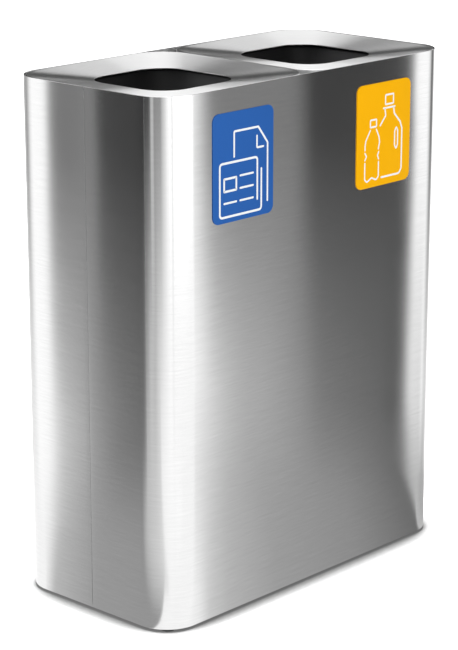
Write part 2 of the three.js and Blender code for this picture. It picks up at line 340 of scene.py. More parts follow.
@dataclass(frozen=True)
class MillSheet:
    """Plain sheet as it leaves the mill: faint rolling lines and a cloudy, even sheen. Its default colour is
    partly the sheet's own dull grey and partly painted shade.
    """

    name: str
    # partly painted shade: darker than bare steel, so the inner steel, above all the rail between the lids,
    # reads dark
    colour: Sequence[float] = (0.28, 0.285, 0.29)
    roughness: float = 0.5
    rolling: Sequence[float] = (260.0, 260.0, 18.0)
    cloud_scale: float = 22.0
    dull: float = 0.85
    uneven: float = 0.06
    line_height: float = 0.01 * MM

    def material(self) -> bpy.types.Material:
        """Builds the material.

        Returns:
            The material.
        """
        material, graph = shader_graph(self.name)
        place = graph.add("ShaderNodeTexCoord").outputs["Object"]
        lines = graph.noise(graph.scaled(place, self.rolling))
        cloud = graph.noise(place, self.cloud_scale, detail=3.0)
        worn = tuple(part * self.dull for part in self.colour)
        colour = graph.tinted(graph.spread(cloud, 0.0, 1.0), worn, self.colour)
        rough = graph.spread(lines, self.roughness - self.uneven, self.roughness + self.uneven)
        bump = graph.add("ShaderNodeBump", {"Distance": self.line_height, "Height": lines})
        close_principled(graph, colour, rough, bump, Metallic=1.0)
        return material


@dataclass(frozen=True)
class Moulding:
    """Moulded plastic or rubber with a fine grain and slight wear."""

    name: str
    colour: Sequence[float]
    roughness: float = 0.5
    specular: float = 0.5
    grain_size: float = 0.9 * MM
    grain_height: float = 0.03 * MM
    fade: float = 1.35
    cloud_scale: float = 9.0
    uneven: float = 0.05

    def material(self) -> bpy.types.Material:
        """Builds the material.

        Returns:
            The material.
        """
        material, graph = shader_graph(self.name)
        place = graph.add("ShaderNodeTexCoord").outputs["Object"]
        grain = graph.noise(place, 1 / self.grain_size)
        cloud = graph.noise(place, self.cloud_scale, detail=4.0)
        faded = tuple(min(part * self.fade, 1.0) for part in self.colour)
        colour = graph.tinted(graph.spread(cloud, 0.0, 1.0), self.colour, faded)
        rough = graph.spread(cloud, self.roughness - self.uneven, self.roughness + self.uneven)
        bump = graph.add("ShaderNodeBump", {"Distance": self.grain_height, "Height": grain})
        close_principled(graph, colour, rough, bump, Specular_IOR_Level=self.specular)
        return material


@dataclass(frozen=True)
class SignFace:
    """Printed plate: an even colour with a faint speckle, under a satin film with a slight orange peel."""

    name: str
    colour: Sequence[float]
    roughness: float = 0.4
    specular: float = 0.03
    weakest: float = 0.93
    speckle_scale: float = 1400.0
    speckle_share: float = 0.6
    cloud_scale: float = 25.0
    cloud_share: float = 0.3
    peel_size: float = 2.2 * MM
    peel_height: float = 0.006 * MM
    uneven: float = 0.03

    def material(self) -> bpy.types.Material:
        """Builds the material.

        Returns:
            The material.
        """
        material, graph = shader_graph(self.name)
        place = graph.add("ShaderNodeTexCoord").outputs["Object"]
        speckle = graph.noise(place, self.speckle_scale)
        cloud = graph.noise(place, self.cloud_scale)
        peel = graph.noise(place, 1 / self.peel_size, detail=1.0)
        weak = tuple(part * self.weakest for part in self.colour)
        speckled = graph.spread(speckle, 1 - self.speckle_share, 1.0)
        blend = graph.math("MULTIPLY", speckled, graph.spread(cloud, 1 - self.cloud_share, 1.0))
        colour = graph.tinted(blend, weak, self.colour)
        rough = graph.spread(cloud, self.roughness - self.uneven, self.roughness + self.uneven)
        bump = graph.add("ShaderNodeBump", {"Distance": self.peel_height, "Height": peel})
        close_principled(graph, colour, rough, bump, Specular_IOR_Level=self.specular)
        return material


@dataclass(frozen=True)
class Finishes:
    """Every finish on the bin, made once."""

    shell: bpy.types.Material
    lid: bpy.types.Material
    mill: bpy.types.Material
    weld: bpy.types.Material
    zinc: bpy.types.Material
    plastic: bpy.types.Material
    rubber: bpy.types.Material
    blue: bpy.types.Material
    amber: bpy.types.Material
    white: bpy.types.Material

    @classmethod
    def make(cls) -> "Finishes":
        """Builds all the materials.

        Returns:
            The finishes.
        """
        kinds = {
            "shell": BrushedSteel("shell_hairline_steel"),
            "lid": BrushedSteel("lid_hairline_steel", roughness=0.3),
            "mill": MillSheet("mill_finish_sheet"),
            "weld": MillSheet(
                "weld_heat_tint", (0.36, 0.3, 0.24), roughness=0.35, dull=0.6, cloud_scale=400.0
            ),
            "zinc": MillSheet(
                "zinc_plating", (0.66, 0.65, 0.6), roughness=0.38, rolling=(900.0,) * 3, cloud_scale=300.0
            ),
            "plastic": Moulding("liner_black_plastic", (0.05, 0.05, 0.051), specular=0.4),
            "rubber": Moulding(
                "foot_black_rubber", (0.02, 0.02, 0.021), roughness=0.8, specular=0.25, grain_size=0.6 * MM
            ),
            "blue": SignFace("sign_blue_film", (0.024, 0.111, 0.385)),
            "amber": SignFace("sign_amber_film", (0.89, 0.435, 0.002)),
            "white": SignFace("sign_white_ink", (0.86, 0.88, 0.88), roughness=0.45),
        }
        return cls(**{use: kind.material() for use, kind in kinds.items()})


# ---------- Shapes ----------


def quarter_turns(steps: int) -> list[float]:
    """Divides a quarter turn evenly, both ends included."""
    return [QUARTER * step / steps for step in range(steps + 1)]


def circle(radius: float, sides: int, start: float = 0.0) -> list[Point]:
    """Draws a circle about the origin, from an angle on."""
    angles = [TAU * side / sides + start for side in range(sides)]
    return [(radius * math.cos(a), radius * math.sin(a)) for a in angles]


def facing_x(height: float = 0.0) -> Matrix:
    """Stands a drawing's plane across X, its own X along Y, at a height."""
    return Matrix(((0, 0, 1, 0), (1, 0, 0, 0), (0, 1, 0, height), (0, 0, 0, 1)))


def facing_y() -> Matrix:
    """Stands a drawing's plane across Y, its own X along X."""
    return Matrix(((1, 0, 0, 0), (0, 0, 1, 0), (0, 1, 0, 0), (0, 0, 0, 1)))


def rounded_outline(
    half_x: float, half_y: float, radius: float, steps: int, flat_steps: int = 1
) -> list[Point]:
    """Draws a rounded rectangle about the origin, anticlockwise.

    Args:
        half_x: Half its length.
        half_y: Half its depth.
        radius: Its corner radius.
        steps: Pieces in each corner's arc.
        flat_steps: Pieces in each flat side.

    Returns:
        Its points, the first where the right side meets the upper right corner.
    """
    arcs = []
    for quarter, (side_x, side_y) in enumerate(((1, 1), (-1, 1), (-1, -1), (1, -1))):
        angles = [(quarter + step / steps) * QUARTER for step in range(steps + 1)]
        centre_x, centre_y = side_x * (half_x - radius), side_y * (half_y - radius)
        arcs.append([(centre_x + radius * math.cos(a), centre_y + radius * math.sin(a)) for a in angles])
    points = []
    for arc, following in zip(arcs, arcs[1:] + arcs[:1]):
        (x0, y0), (x1, y1) = arc[-1], following[0]
        shares = [step / flat_steps for step in range(1, flat_steps)]
        points += arc + [(x0 + (x1 - x0) * share, y0 + (y1 - y0) * share) for share in shares]
    return points


def filleted(points: Sequence[Point], radius: float, steps: int = 4, closed: bool = False) -> list[Point]:
    """Rounds the corners of a polyline.

    Args:
        points: Its corners.
        radius: The radius at each corner, cut down where a side is short.
        steps: Pieces in each arc.
        closed: Whether the last point joins the first.

    Returns:
        The points of the rounded polyline.
    """
    most_of_side = 0.49
    count = len(points)
    result = []
    for index, here in enumerate(points):
        if not closed and index in (0, count - 1):
            result.append(here)
            continue
        corner = Vector(here)
        back = Vector(points[index - 1]) - corner
        ahead = Vector(points[(index + 1) % count]) - corner
        half_angle = back.angle(ahead) / 2
        longest = min(back.length, ahead.length) * most_of_side
        reach = min(radius / math.tan(half_angle), longest)
        start, end = corner + back.normalized() * reach, corner + ahead.normalized() * reach
        for step in range(steps + 1):
            share = step / steps
            curve = start * (1 - share) ** 2 + corner * 2 * share * (1 - share) + end * share**2
            result.append((curve.x, curve.y))
    return result


def offset_path(points: Sequence[Point], distance: float, closed: bool = False) -> list[Point]:
    """Moves a polyline to its left by a distance, with mitred corners.

    Args:
        points: The polyline.
        distance: How far to move it; negative moves it to the right.
        closed: Whether the last point joins the first.

    Returns:
        The moved points, as many as there were.
    """
    sharpest = 0.4
    count = len(points)
    result = []
    for index in range(count):
        here = Vector(points[index])
        before = Vector(points[index - 1]) if closed or index > 0 else None
        after = Vector(points[(index + 1) % count]) if closed or index < count - 1 else None
        into = (here - before).normalized() if before is not None else (after - here).normalized()
        out = (after - here).normalized() if after is not None else into
        left_in, left_out = Vector((-into.y, into.x)), Vector((-out.y, out.x))
        mitre = (left_in + left_out).normalized()
        moved = here + mitre * (distance / max(mitre.dot(left_in), sharpest))
        result.append((moved.x, moved.y))
    return result


def linked(name: str, data: bpy.types.ID) -> bpy.types.Object:
    """Makes an object and links it to the scene.

    Args:
        name: The object's name.
        data: Its mesh, lamp or camera.

    Returns:
        The object.
    """
    piece = bpy.data.objects.new(name, data)
    bpy.context.scene.collection.objects.link(piece)
    return piece


def bare_object(
    name: str,
    points: Sequence[Sequence[float]],
    edges: Sequence[tuple[int, int]] = (),
    faces: Sequence[Sequence[int]] = (),
) -> bpy.types.Object:
    """Makes an object of points, edges and faces as they are given.

    Args:
        name: The object's name.
        points: Its points.
        edges: Its edges, as numbers of points.
        faces: Its faces, as numbers of points.

    Returns:
        The object, linked to the scene.
    """
    mesh = bpy.data.meshes.new(name)
    mesh.from_pydata([tuple(point) for point in points], list(edges), [tuple(face) for face in faces])
    return linked(name, mesh)


def skin(name: str, vertices: Sequence[Sequence[float]], faces: Sequence[Sequence[int]]) -> bpy.types.Object:
    """Makes an object of a closed skin, its faces turned outwards.

    Args:
        name: The object's name.
        vertices: Its points.
        faces: Its faces, as numbers of points.

    Returns:
        The object, linked to the scene.
    """
    piece = bare_object(name, vertices, faces=faces)
    shape = bmesh.new()
    shape.from_mesh(piece.data)
    bmesh.ops.remove_doubles(shape, verts=shape.verts, dist=MERGE_WITHIN)
    bmesh.ops.recalc_face_normals(shape, faces=shape.faces)
    shape.to_mesh(piece.data)
    shape.free()
    return piece


def loft(name: str, rings: Sequence[Sequence[Vector]], joined: bool) -> bpy.types.Object:
    """Skins rings of equal count.

    Args:
        name: The object's name.
        rings: The rings, in order.
        joined: Whether the last ring joins the first; otherwise both ends are closed flat.

    Returns:
        The closed object.
    """
    count = len(rings[0])
    vertices = [point for ring in rings for point in ring]
    faces = []
    for ring in range(len(rings) if joined else len(rings) - 1):
        low, high = ring * count, ((ring + 1) % len(rings)) * count
        for point in range(count):
            following = (point + 1) % count
            faces.append((low + point, low + following, high + following, high + point))
    if not joined:
        last = (len(rings) - 1) * count
        faces.append(tuple(reversed(range(count))))
        faces.append(tuple(range(last, last + count)))
    return skin(name, vertices, faces)


def extruded(name: str, outline: Sequence[Point], low: float, high: float, turn: Matrix) -> bpy.types.Object:
    """Raises a flat outline between two heights, then turns and places it.

    Args:
        name: The object's name.
        outline: The outline, in its own plane.
        low: The first height.
        high: The second height.
        turn: Where the outline's plane goes.

    Returns:
        The closed object.
    """
    rings = [[turn @ Vector((x, y, height)) for x, y in outline] for height in (low, high)]
    return loft(name, rings, joined=False)


def folded_sheet(outer: Sequence[Point], sheet: float, bend_inside: float) -> list[Point]:
    """Draws the section of a folded sheet from the line of its outer face.

    Args:
        outer: The outer face's corners, with the metal on their left.
        sheet: The sheet's thickness.
        bend_inside: The inner radius of its folds.

    Returns:
        The section's outline.
    """
    inner = offset_path(outer, sheet)
    outside = filleted(outer, bend_inside + sheet, FOLD_STEPS)
    return outside + filleted(inner, bend_inside, FOLD_STEPS)[::-1]


def join(name: str, pieces: Sequence[bpy.types.Object]) -> bpy.types.Object:
    """Joins pieces that lie at the origin into one object.

    Args:
        name: The new object's name.
        pieces: The pieces, which are removed.

    Returns:
        The joined object.
    """
    shape = bmesh.new()
    for piece in pieces:
        shape.from_mesh(piece.data)
        bpy.data.objects.remove(piece)
    mesh = bpy.data.meshes.new(name)
    shape.to_mesh(mesh)
    shape.free()
    return linked(name, mesh)


def smooth(piece: bpy.types.Object, angle: float = SHARP_ANGLE) -> None:
    """Shades a piece smooth, with edges sharper than an angle kept crisp."""
    piece.data.shade_smooth()
    piece.data.set_sharp_from_angle(angle=angle)


def bevel(piece: bpy.types.Object, width: float, limit: str = "ANGLE") -> None:
    """Rounds the edges of a piece with a live Bevel.

    Args:
        piece: The piece.
        width: How far the rounding reaches from an edge.
        limit: What picks the edges: their angle, or their own weights.
    """
    modifier = piece.modifiers.new("edge_round", "BEVEL")
    modifier.width = width
    modifier.segments = 2
    modifier.limit_method = limit
    modifier.angle_limit = BEVEL_ANGLE


def bake_modifiers(piece: bpy.types.Object) -> None:
    """Turns a piece with its modifiers into a plain mesh.

    Args:
        piece: The piece, which keeps its name.
    """
    evaluated = piece.evaluated_get(bpy.context.evaluated_depsgraph_get())
    mesh = bpy.data.meshes.new_from_object(evaluated)
    mesh.name = piece.name
    piece.modifiers.clear()
    piece.data = mesh


def cut_away(piece: bpy.types.Object, tool: bpy.types.Object) -> None:
    """Cuts a closed tool out of a piece and removes the tool.

    Args:
        piece: The piece.
        tool: The tool.
    """
    modifier = piece.modifiers.new("cut", "BOOLEAN")
    modifier.operation = "DIFFERENCE"
    modifier.object = tool
    bake_modifiers(piece)
    bpy.data.objects.remove(tool)


def settle(piece: bpy.types.Object, body: Body, nodes: Sequence[str] = ()) -> None:
    """Hands a finished piece to the frame.

    Args:
        piece: The piece, at the origin.
        body: The body that it rides on.
        nodes: The CAD nodes that it stands for.
    """
    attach(piece, body.value)
    if nodes:
        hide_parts(*nodes)
    log.info("%s rides on %s, %d faces", piece.name, body.value, len(piece.data.polygons))


# ---------- Geometry Nodes ----------


def geometry_tree(name: str, inputs: dict[str, str]) -> tuple[bpy.types.NodeTree, Graph, bpy.types.Node]:
    """Starts a Geometry Nodes tree.

    Args:
        name: The tree's name.
        inputs: Socket types by input name, beside the geometry itself.

    Returns:
        The tree, its graph and its input node.
    """
    tree = bpy.data.node_groups.new(name, "GeometryNodeTree")
    graph = Graph(tree)
    tree.interface.new_socket("Geometry", in_out="INPUT", socket_type="NodeSocketGeometry")
    for label, kind in inputs.items():
        tree.interface.new_socket(label, in_out="INPUT", socket_type=kind)
    tree.interface.new_socket("Geometry", in_out="OUTPUT", socket_type="NodeSocketGeometry")
    return tree, graph, graph.add("NodeGroupInput")


def grow(piece: bpy.types.Object, tree: bpy.types.NodeTree, values: dict[str, object]) -> None:
    """Runs a tree on a piece and keeps the result as a plain mesh.

    Args:
        piece: The object that the tree starts from.
        tree: The tree.
        values: What its named inputs are set to.
    """
    modifier = piece.modifiers.new(tree.name, "NODES")
    modifier.node_group = tree
    for item in tree.interface.items_tree:
        if item.in_out == "INPUT" and item.name in values:
            modifier[item.identifier] = values[item.name]
    bake_modifiers(piece)


def wrapped_sheet_tree() -> bpy.types.NodeTree:
    """Builds the tree that wraps a sheet round a plan, given as a line of corner points.

    Returns:
        The tree. It stores the grain map, with U up the sheet and V along its wrap.
    """
    fillet_pieces = 32
    swell_span = (0.25, 0.75)
    shortest_wrap = 1e-6
    inputs = {
        "Corner Radius": "NodeSocketFloat",
        "Low": "NodeSocketFloat",
        "High": "NodeSocketFloat",
        "Sheet": "NodeSocketFloat",
        "Path Step": "NodeSocketFloat",
        "Rows": "NodeSocketInt",
        "Sway": "NodeSocketFloat",
        "Sway Scale": "NodeSocketFloat",
        "Seam Draw": "NodeSocketFloat",
        "Seam Reach": "NodeSocketFloat",
        "Material": "NodeSocketMaterial",
    }
    tree, graph, given = geometry_tree("wrapped_sheet", inputs)
    value = given.outputs
    plan = graph.add("GeometryNodeMeshToCurve", {0: value["Geometry"]})
    rounded = graph.add("GeometryNodeFilletCurve", {
        "Curve": plan, "Count": fillet_pieces, "Radius": value["Corner Radius"]
    }, mode="POLY")
    path = graph.add("GeometryNodeResampleCurve", {
        "Curve": rounded, "Length": value["Path Step"]
    }, mode="LENGTH")
    along = graph.add("GeometryNodeSplineParameter")
    outward = graph.add("GeometryNodeInputNormal")
    wrap = graph.captured(path, {
        "Along": ("FLOAT", along.outputs["Length"]),
        "Share": ("FLOAT", along.outputs["Factor"]),
        "Outward": ("VECTOR", outward.outputs[0]),
    })

    tall = graph.math("SUBTRACT", value["High"], value["Low"])
    middle = graph.math("MULTIPLY", graph.math("ADD", value["High"], value["Low"]), -0.5)
    inset = graph.math("MULTIPLY", value["Sheet"], -0.5)
    section = graph.add("GeometryNodeCurvePrimitiveQuadrilateral", {"Width": value["Sheet"], "Height": tall})
    placed = graph.add("GeometryNodeTransform", {
        "Geometry": section,
        "Translation": graph.add("ShaderNodeCombineXYZ", {0: inset, 1: middle}),
    })
    upright = graph.math("MODULO", graph.add("GeometryNodeInputIndex"), 2.0)
    rows = graph.add("GeometryNodeSubdivideCurve", {
        "Curve": placed, "Cuts": graph.math("MULTIPLY", upright, value["Rows"])
    })
    here = graph.add("GeometryNodeInputPosition").outputs[0]
    up = graph.captured(rows, {"Section": ("VECTOR", here)})

    skin_mesh = graph.add("GeometryNodeCurveToMesh", {
        "Curve": wrap.outputs[0], "Profile Curve": up.outputs[0], "Fill Caps": True
    })
    section_place = graph.add("ShaderNodeSeparateXYZ", {0: up.outputs[1]})
    grain_u = graph.math("SUBTRACT", section_place.outputs[0], section_place.outputs[1])
    grain = graph.add("ShaderNodeCombineXYZ", {0: grain_u, 1: wrap.outputs[1]})
    mapped = graph.add("GeometryNodeStoreNamedAttribute", {
        "Geometry": skin_mesh, "Name": GRAIN, "Value": grain
    }, data_type="FLOAT2", domain="CORNER")

    swell = graph.noise(here, value["Sway Scale"], detail=1.0)
    swayed = graph.math("MULTIPLY", graph.spread(swell, 0.0, 1.0, swell_span), value["Sway"])
    whole = graph.math("DIVIDE", wrap.outputs[1], graph.math("MAXIMUM", wrap.outputs[2], shortest_wrap))
    to_end = graph.math("SUBTRACT", whole, wrap.outputs[1])
    from_seam = graph.math("MINIMUM", wrap.outputs[1], to_end)
    share = graph.math("DIVIDE", from_seam, value["Seam Reach"])
    nearness = graph.math("POWER", graph.math("MAXIMUM", graph.math("SUBTRACT", 1.0, share), 0.0), 2.0)
    drawn = graph.math("MULTIPLY", nearness, value["Seam Draw"])
    inwards = graph.math("MULTIPLY", graph.math("ADD", swayed, drawn), -1.0)
    shift = graph.add("ShaderNodeVectorMath", {0: wrap.outputs[3], "Scale": inwards}, operation="SCALE")
    moved = graph.add("GeometryNodeSetPosition", {"Geometry": mapped, "Offset": shift})
    graph.close_geometry(moved, value["Material"])
    return tree


def repeated_piece_tree() -> bpy.types.NodeTree:
    """Builds the tree that sets one piece on every point of a mesh, each facing its own way.

    Returns:
        The tree. Points carry a vector attribute, facing.
    """
    inputs = {
        "Piece": "NodeSocketObject",
        "Turn": "NodeSocketFloat",
        "Seed": "NodeSocketInt",
        "Material": "NodeSocketMaterial",
    }
    tree, graph, given = geometry_tree("repeated_piece", inputs)
    value = given.outputs
    source = graph.add("GeometryNodeObjectInfo", {"Object": value["Piece"]})
    facing = graph.add("GeometryNodeInputNamedAttribute", {"Name": "facing"}, data_type="FLOAT_VECTOR")
    stand = graph.add("FunctionNodeAlignRotationToVector", {"Vector": facing.outputs[0]}, axis="Z")
    most_and_seed = {3: value["Turn"], "Seed": value["Seed"]}
    random = graph.add("FunctionNodeRandomValue", most_and_seed, data_type="FLOAT")
    spin = graph.add("ShaderNodeCombineXYZ", {2: random.outputs[1]})
    turned = graph.add("FunctionNodeRotateRotation", {0: stand, 1: spin}, rotation_space="LOCAL")
    copies = graph.add("GeometryNodeInstanceOnPoints", {
        "Points": value["Geometry"], "Instance": source.outputs["Geometry"], "Rotation": turned
    })
    graph.close_geometry(copies, value["Material"])
    return tree


@dataclass(frozen=True)
class Place:
    """Where a repeated piece stands, and which way its own Z faces."""

    at: Vector
    facing: Vector = field(default_factory=lambda: Vector((0, 0, 1)))


def repeat(
    name: str, template: bpy.types.Object, places: Sequence[Place], material: bpy.types.Material, turn: float
) -> bpy.types.Object:
    """Sets copies of a template at places and removes the template.

    Args:
        name: The new object's name.
        template: The piece to repeat, about the origin.
        places: Where the copies stand.
        material: Their finish.
        turn: The most that each is turned about its own Z, at random.

    Returns:
        One plain object that holds all the copies.
    """
    piece = bare_object(name, [place.at for place in places])
    facing = piece.data.attributes.new("facing", "FLOAT_VECTOR", "POINT")
    for item, place in zip(facing.data, places):
        item.vector = place.facing
    tree = bpy.data.node_groups.get("repeated_piece") or repeated_piece_tree()
    grow(piece, tree, {"Piece": template, "Turn": turn, "Seed": SPIN_SEED, "Material": material})
    bpy.data.objects.remove(template)
    return piece


def turned_piece(name: str, profile: Sequence[Point], sides: int) -> bpy.types.Object:
    """Turns a closed profile of (radius, height) round Z.

    Args:
        name: The object's name.
        profile: The profile, closed on itself.
        sides: Sides of the round.

    Returns:
        The closed object.
    """
    rings = [[Vector((x, y, z)) for x, y in circle(radius, sides)] for radius, z in profile]
    return loft(name, rings, joined=True)


# ---------- Sub-assemblies ----------


@dataclass
class Shell:
    """The wrapped sheet with its seam in the middle of the left end."""

    finishes: Finishes
    corner_radius: float = 60 * MM
    sheet: float = 1.2 * MM
    seam_gap: float = 0.6 * MM
    path_step: float = 5 * MM
    rows: int = 70
    sway: float = 0.22 * MM
    sway_scale: float = 5.5
    seam_draw: float = 0.04 * MM
    seam_reach: float = 2.5 * MM
    edge_round: float = 0.5 * MM
    seam_edge_share: float = 0.3
    level_within: float = 0.1 * MM

    def build(self) -> bpy.types.Object:
        """Wraps the sheet round its plan and rounds its edges, those of the seam less.

        Returns:
            The shell.
        """
        low, high = node_box("body_shell")
        half_gap = self.seam_gap / 2
        plan = [
            (low.x, -half_gap), (low.x, low.y), (high.x, low.y),
            (high.x, high.y), (low.x, high.y), (low.x, half_gap),
        ]
        edges = [(point, point + 1) for point in range(len(plan) - 1)]
        piece = bare_object("shell_sheet", [(x, y, 0.0) for x, y in plan], edges)
        grow(piece, wrapped_sheet_tree(), {
            "Corner Radius": self.corner_radius,
            "Low": low.z,
            "High": high.z,
            "Sheet": self.sheet,
            "Path Step": self.path_step,
            "Rows": self.rows,
            "Sway": self.sway,
            "Sway Scale": self.sway_scale,
            "Seam Draw": self.seam_draw,
            "Seam Reach": self.seam_reach,
            "Material": self.finishes.shell,
        })
        smooth(piece)
        weights = piece.data.attributes.new("bevel_weight_edge", "FLOAT", "EDGE")
        points = piece.data.vertices
        for edge, weight in zip(piece.data.edges, weights.data):
            start, end = (points[number].co for number in edge.vertices)
            level = abs(start.z - end.z) < self.level_within
            weight.value = edge.use_edge_sharp * (1.0 if level else self.seam_edge_share)
        bevel(piece, self.edge_round, "WEIGHT")
        return piece

    def dress(self) -> None:
        """Puts the shell in the frame."""
        settle(self.build(), Body.HOUSING, ["body_shell"])


@dataclass
class Lid:
    """A dished lid: skirt, bent edge and a surface that falls to a rounded-square hole."""

    side: Side
    finishes: Finishes
    sheet: float = 1.2 * MM
    bend_inside: float = 0.8 * MM
    corner_radius: float = 58 * MM
    dish: float = 9.5 * MM
    hole_side: float = 185 * MM
    hole_radius: float = 50 * MM
    hole_edge: float = 0.3 * MM
    corner_steps: int = 24
    flat_steps: int = 20
    dish_steps: int = 14
    bend_steps: int = 6
    grain_radius: float = 120 * MM

    def ring(self, inset: float, z: float, share: float = 0.0) -> list[Vector]:
        """Draws one ring of the lid.

        Args:
            inset: How far it is drawn in from the lid's outline.
            z: Its height.
            share: How far it has gone from the outline to the hole, from 0 to 1.

        Returns:
            The ring's points.
        """
        low, high = node_box(f"lid_{self.side.word}")
        middle, half = (low + high) / 2, (high - low) / 2
        steps = (self.corner_steps, self.flat_steps)
        outer = rounded_outline(half.x - inset, half.y - inset, self.corner_radius - inset, *steps)
        half_hole = self.hole_side / 2
        hole = rounded_outline(half_hole, half_hole, self.hole_radius, *steps)
        return [
            Vector((middle.x + ox + (hx - ox) * share, middle.y + oy + (hy - oy) * share, z))
            for (ox, oy), (hx, hy) in zip(outer, hole)
        ]

    def build(self) -> bpy.types.Object:
        """Lofts the lid and lays its grain round the hole.

        Returns:
            The lid.
        """
        low, high = node_box(f"lid_{self.side.word}")
        bend_outside = self.bend_inside + self.sheet
        top, under = high.z, high.z - self.sheet
        bend_z = top - bend_outside
        turns = quarter_turns(self.bend_steps)
        shares = [step / self.dish_steps for step in range(1, self.dish_steps + 1)]
        edge_share = self.hole_edge / (high.x - low.x - self.hole_side) * 2
        rings = [self.ring(0.0, low.z)]
        rings += [
            self.ring(bend_outside * (1 - math.cos(t)), bend_z + bend_outside * math.sin(t)) for t in turns
        ]
        rings += [self.ring(bend_outside, top - self.dish * s, s) for s in shares[:-1]]
        rings.append(self.ring(bend_outside, top - self.dish * (1 - edge_share), 1 - edge_share))
        rings.append(self.ring(bend_outside, top - self.dish - self.hole_edge, 1.0))
        rings.append(self.ring(bend_outside, under - self.dish, 1.0))
        rings += [self.ring(bend_outside, under - self.dish * s, s) for s in shares[-2::-1]]
        rings += [
            self.ring(bend_outside - self.bend_inside * math.cos(t), bend_z + self.bend_inside * math.sin(t))
            for t in reversed(turns)
        ]
        rings.append(self.ring(self.sheet, low.z))
        piece = loft(f"{self.side.word}_lid_pressing", rings, joined=True)
        lay_round_grain(piece, (low + high) / 2, self.grain_radius)
        smooth(piece)
        piece.data.materials.append(self.finishes.lid)
        return piece

    def dress(self) -> None:
        """Puts the lid in the frame."""
        body = Body[f"{self.side.name}_LID"]
        settle(self.build(), body, [f"lid_{self.side.word}"])


def lay_round_grain(piece: bpy.types.Object, middle: Vector, radius: float) -> None:
    """Lays a grain map whose U is the distance from a middle and whose V runs round it.

    Args:
        piece: The piece to map.
        middle: The point that the grain runs round.
        radius: The distance from it at which V is true to size.
    """
    layer = piece.data.uv_layers.new(name=GRAIN)
    corners = piece.data.loops
    points = piece.data.vertices
    for face in piece.data.polygons:
        towards = math.atan2(face.center.y - middle.y, face.center.x - middle.x)
        for corner in face.loop_indices:
            place = points[corners[corner].vertex_index].co - middle
            turn = math.atan2(place.y, place.x) - towards
            turn = (turn + math.pi) % TAU - math.pi
            depth = math.hypot(place.x, place.y) - place.z
            layer.data[corner].uv = (depth, (towards + turn) * radius)


@dataclass
class Liner:
    """A tapered moulded bin with a turned-down rim and a hand slot in each end wall."""

    side: Side
    finishes: Finishes
    wall: float = 3 * MM
    rim_width: float = 7 * MM
    lip: float = 12 * MM
    taper: float = 14 * MM
    corner_radius: float = 60 * MM
    floor_radius: float = 10 * MM
    slot_length: float = 100 * MM
    slot_height: float = 25 * MM
    slot_radius: float = 10 * MM
    slot_below_rim: float = 42 * MM
    slot_steps: int = 8
    corner_steps: int = 16
    bend_steps: int = 5
    least_radius: float = 1 * MM

    def ring(self, inset: float, z: float) -> list[Vector]:
        """Draws one ring of the liner.

        Args:
            inset: How far it is drawn in from the rim's outline.
            z: Its height.

        Returns:
            The ring's points.
        """
        low, high = node_box(f"liner_{self.side.word}")
        middle, half = (low + high) / 2, (high - low) / 2
        radius = max(self.corner_radius - inset, self.least_radius)
        outline = rounded_outline(half.x - inset, half.y - inset, radius, self.corner_steps)
        return [Vector((middle.x + x, middle.y + y, z)) for x, y in outline]

    def build(self) -> bpy.types.Object:
        """Lofts the liner and cuts its hand slots.

        Returns:
            The liner.
        """
        low, high = node_box(f"liner_{self.side.word}")
        floor_inset = self.rim_width + self.taper
        bend_inset = floor_inset + self.floor_radius
        inside = self.floor_radius - self.wall
        rim_under = high.z - self.wall
        floor_centre = low.z + self.floor_radius
        turns = [(math.cos(t), math.sin(t)) for t in quarter_turns(self.bend_steps)]
        outside = self.floor_radius
        pairs = [(bend_inset - outside * sin, floor_centre - outside * cos) for cos, sin in turns]
        pairs += [(self.rim_width, rim_under), (self.wall, rim_under)]
        pairs += [(self.wall, high.z - self.lip), (0.0, high.z - self.lip)]
        pairs += [(self.wall * (1 - cos), rim_under + self.wall * sin) for cos, sin in turns]
        pairs += [(self.rim_width + self.wall * sin, rim_under + self.wall * cos) for cos, sin in turns]
        pairs += [(bend_inset - inside * cos, floor_centre - inside * sin) for cos, sin in turns]
        piece = loft(f"{self.side.word}_liner_moulding", [self.ring(*pair) for pair in pairs], joined=False)
        cut_away(piece, self.slot_tool(low, high))
        piece.data.materials.clear()
        piece.data.materials.append(self.finishes.plastic)
        smooth(piece)
        return piece

    def slot_tool(self, low: Vector, high: Vector) -> bpy.types.Object:
        """Makes the bar that cuts both hand slots.

        Args:
            low: The liner's lowest corner.
            high: Its highest corner.

        Returns:
            The bar.
        """
        half_long, half_high = self.slot_length / 2, self.slot_height / 2
        outline = rounded_outline(half_long, half_high, self.slot_radius, self.slot_steps)
        middle = high.z - self.slot_below_rim - half_high
        ends = (low.x - TOOL_PAST, high.x + TOOL_PAST)
        return extruded(f"{self.side.word}_slot_tool", outline, *ends, facing_x(middle))

    def dress(self) -> None:
        """Puts the liner in the frame."""
        body = Body[f"{self.side.name}_LINER"]
        settle(self.build(), body, [f"liner_{self.side.word}"])


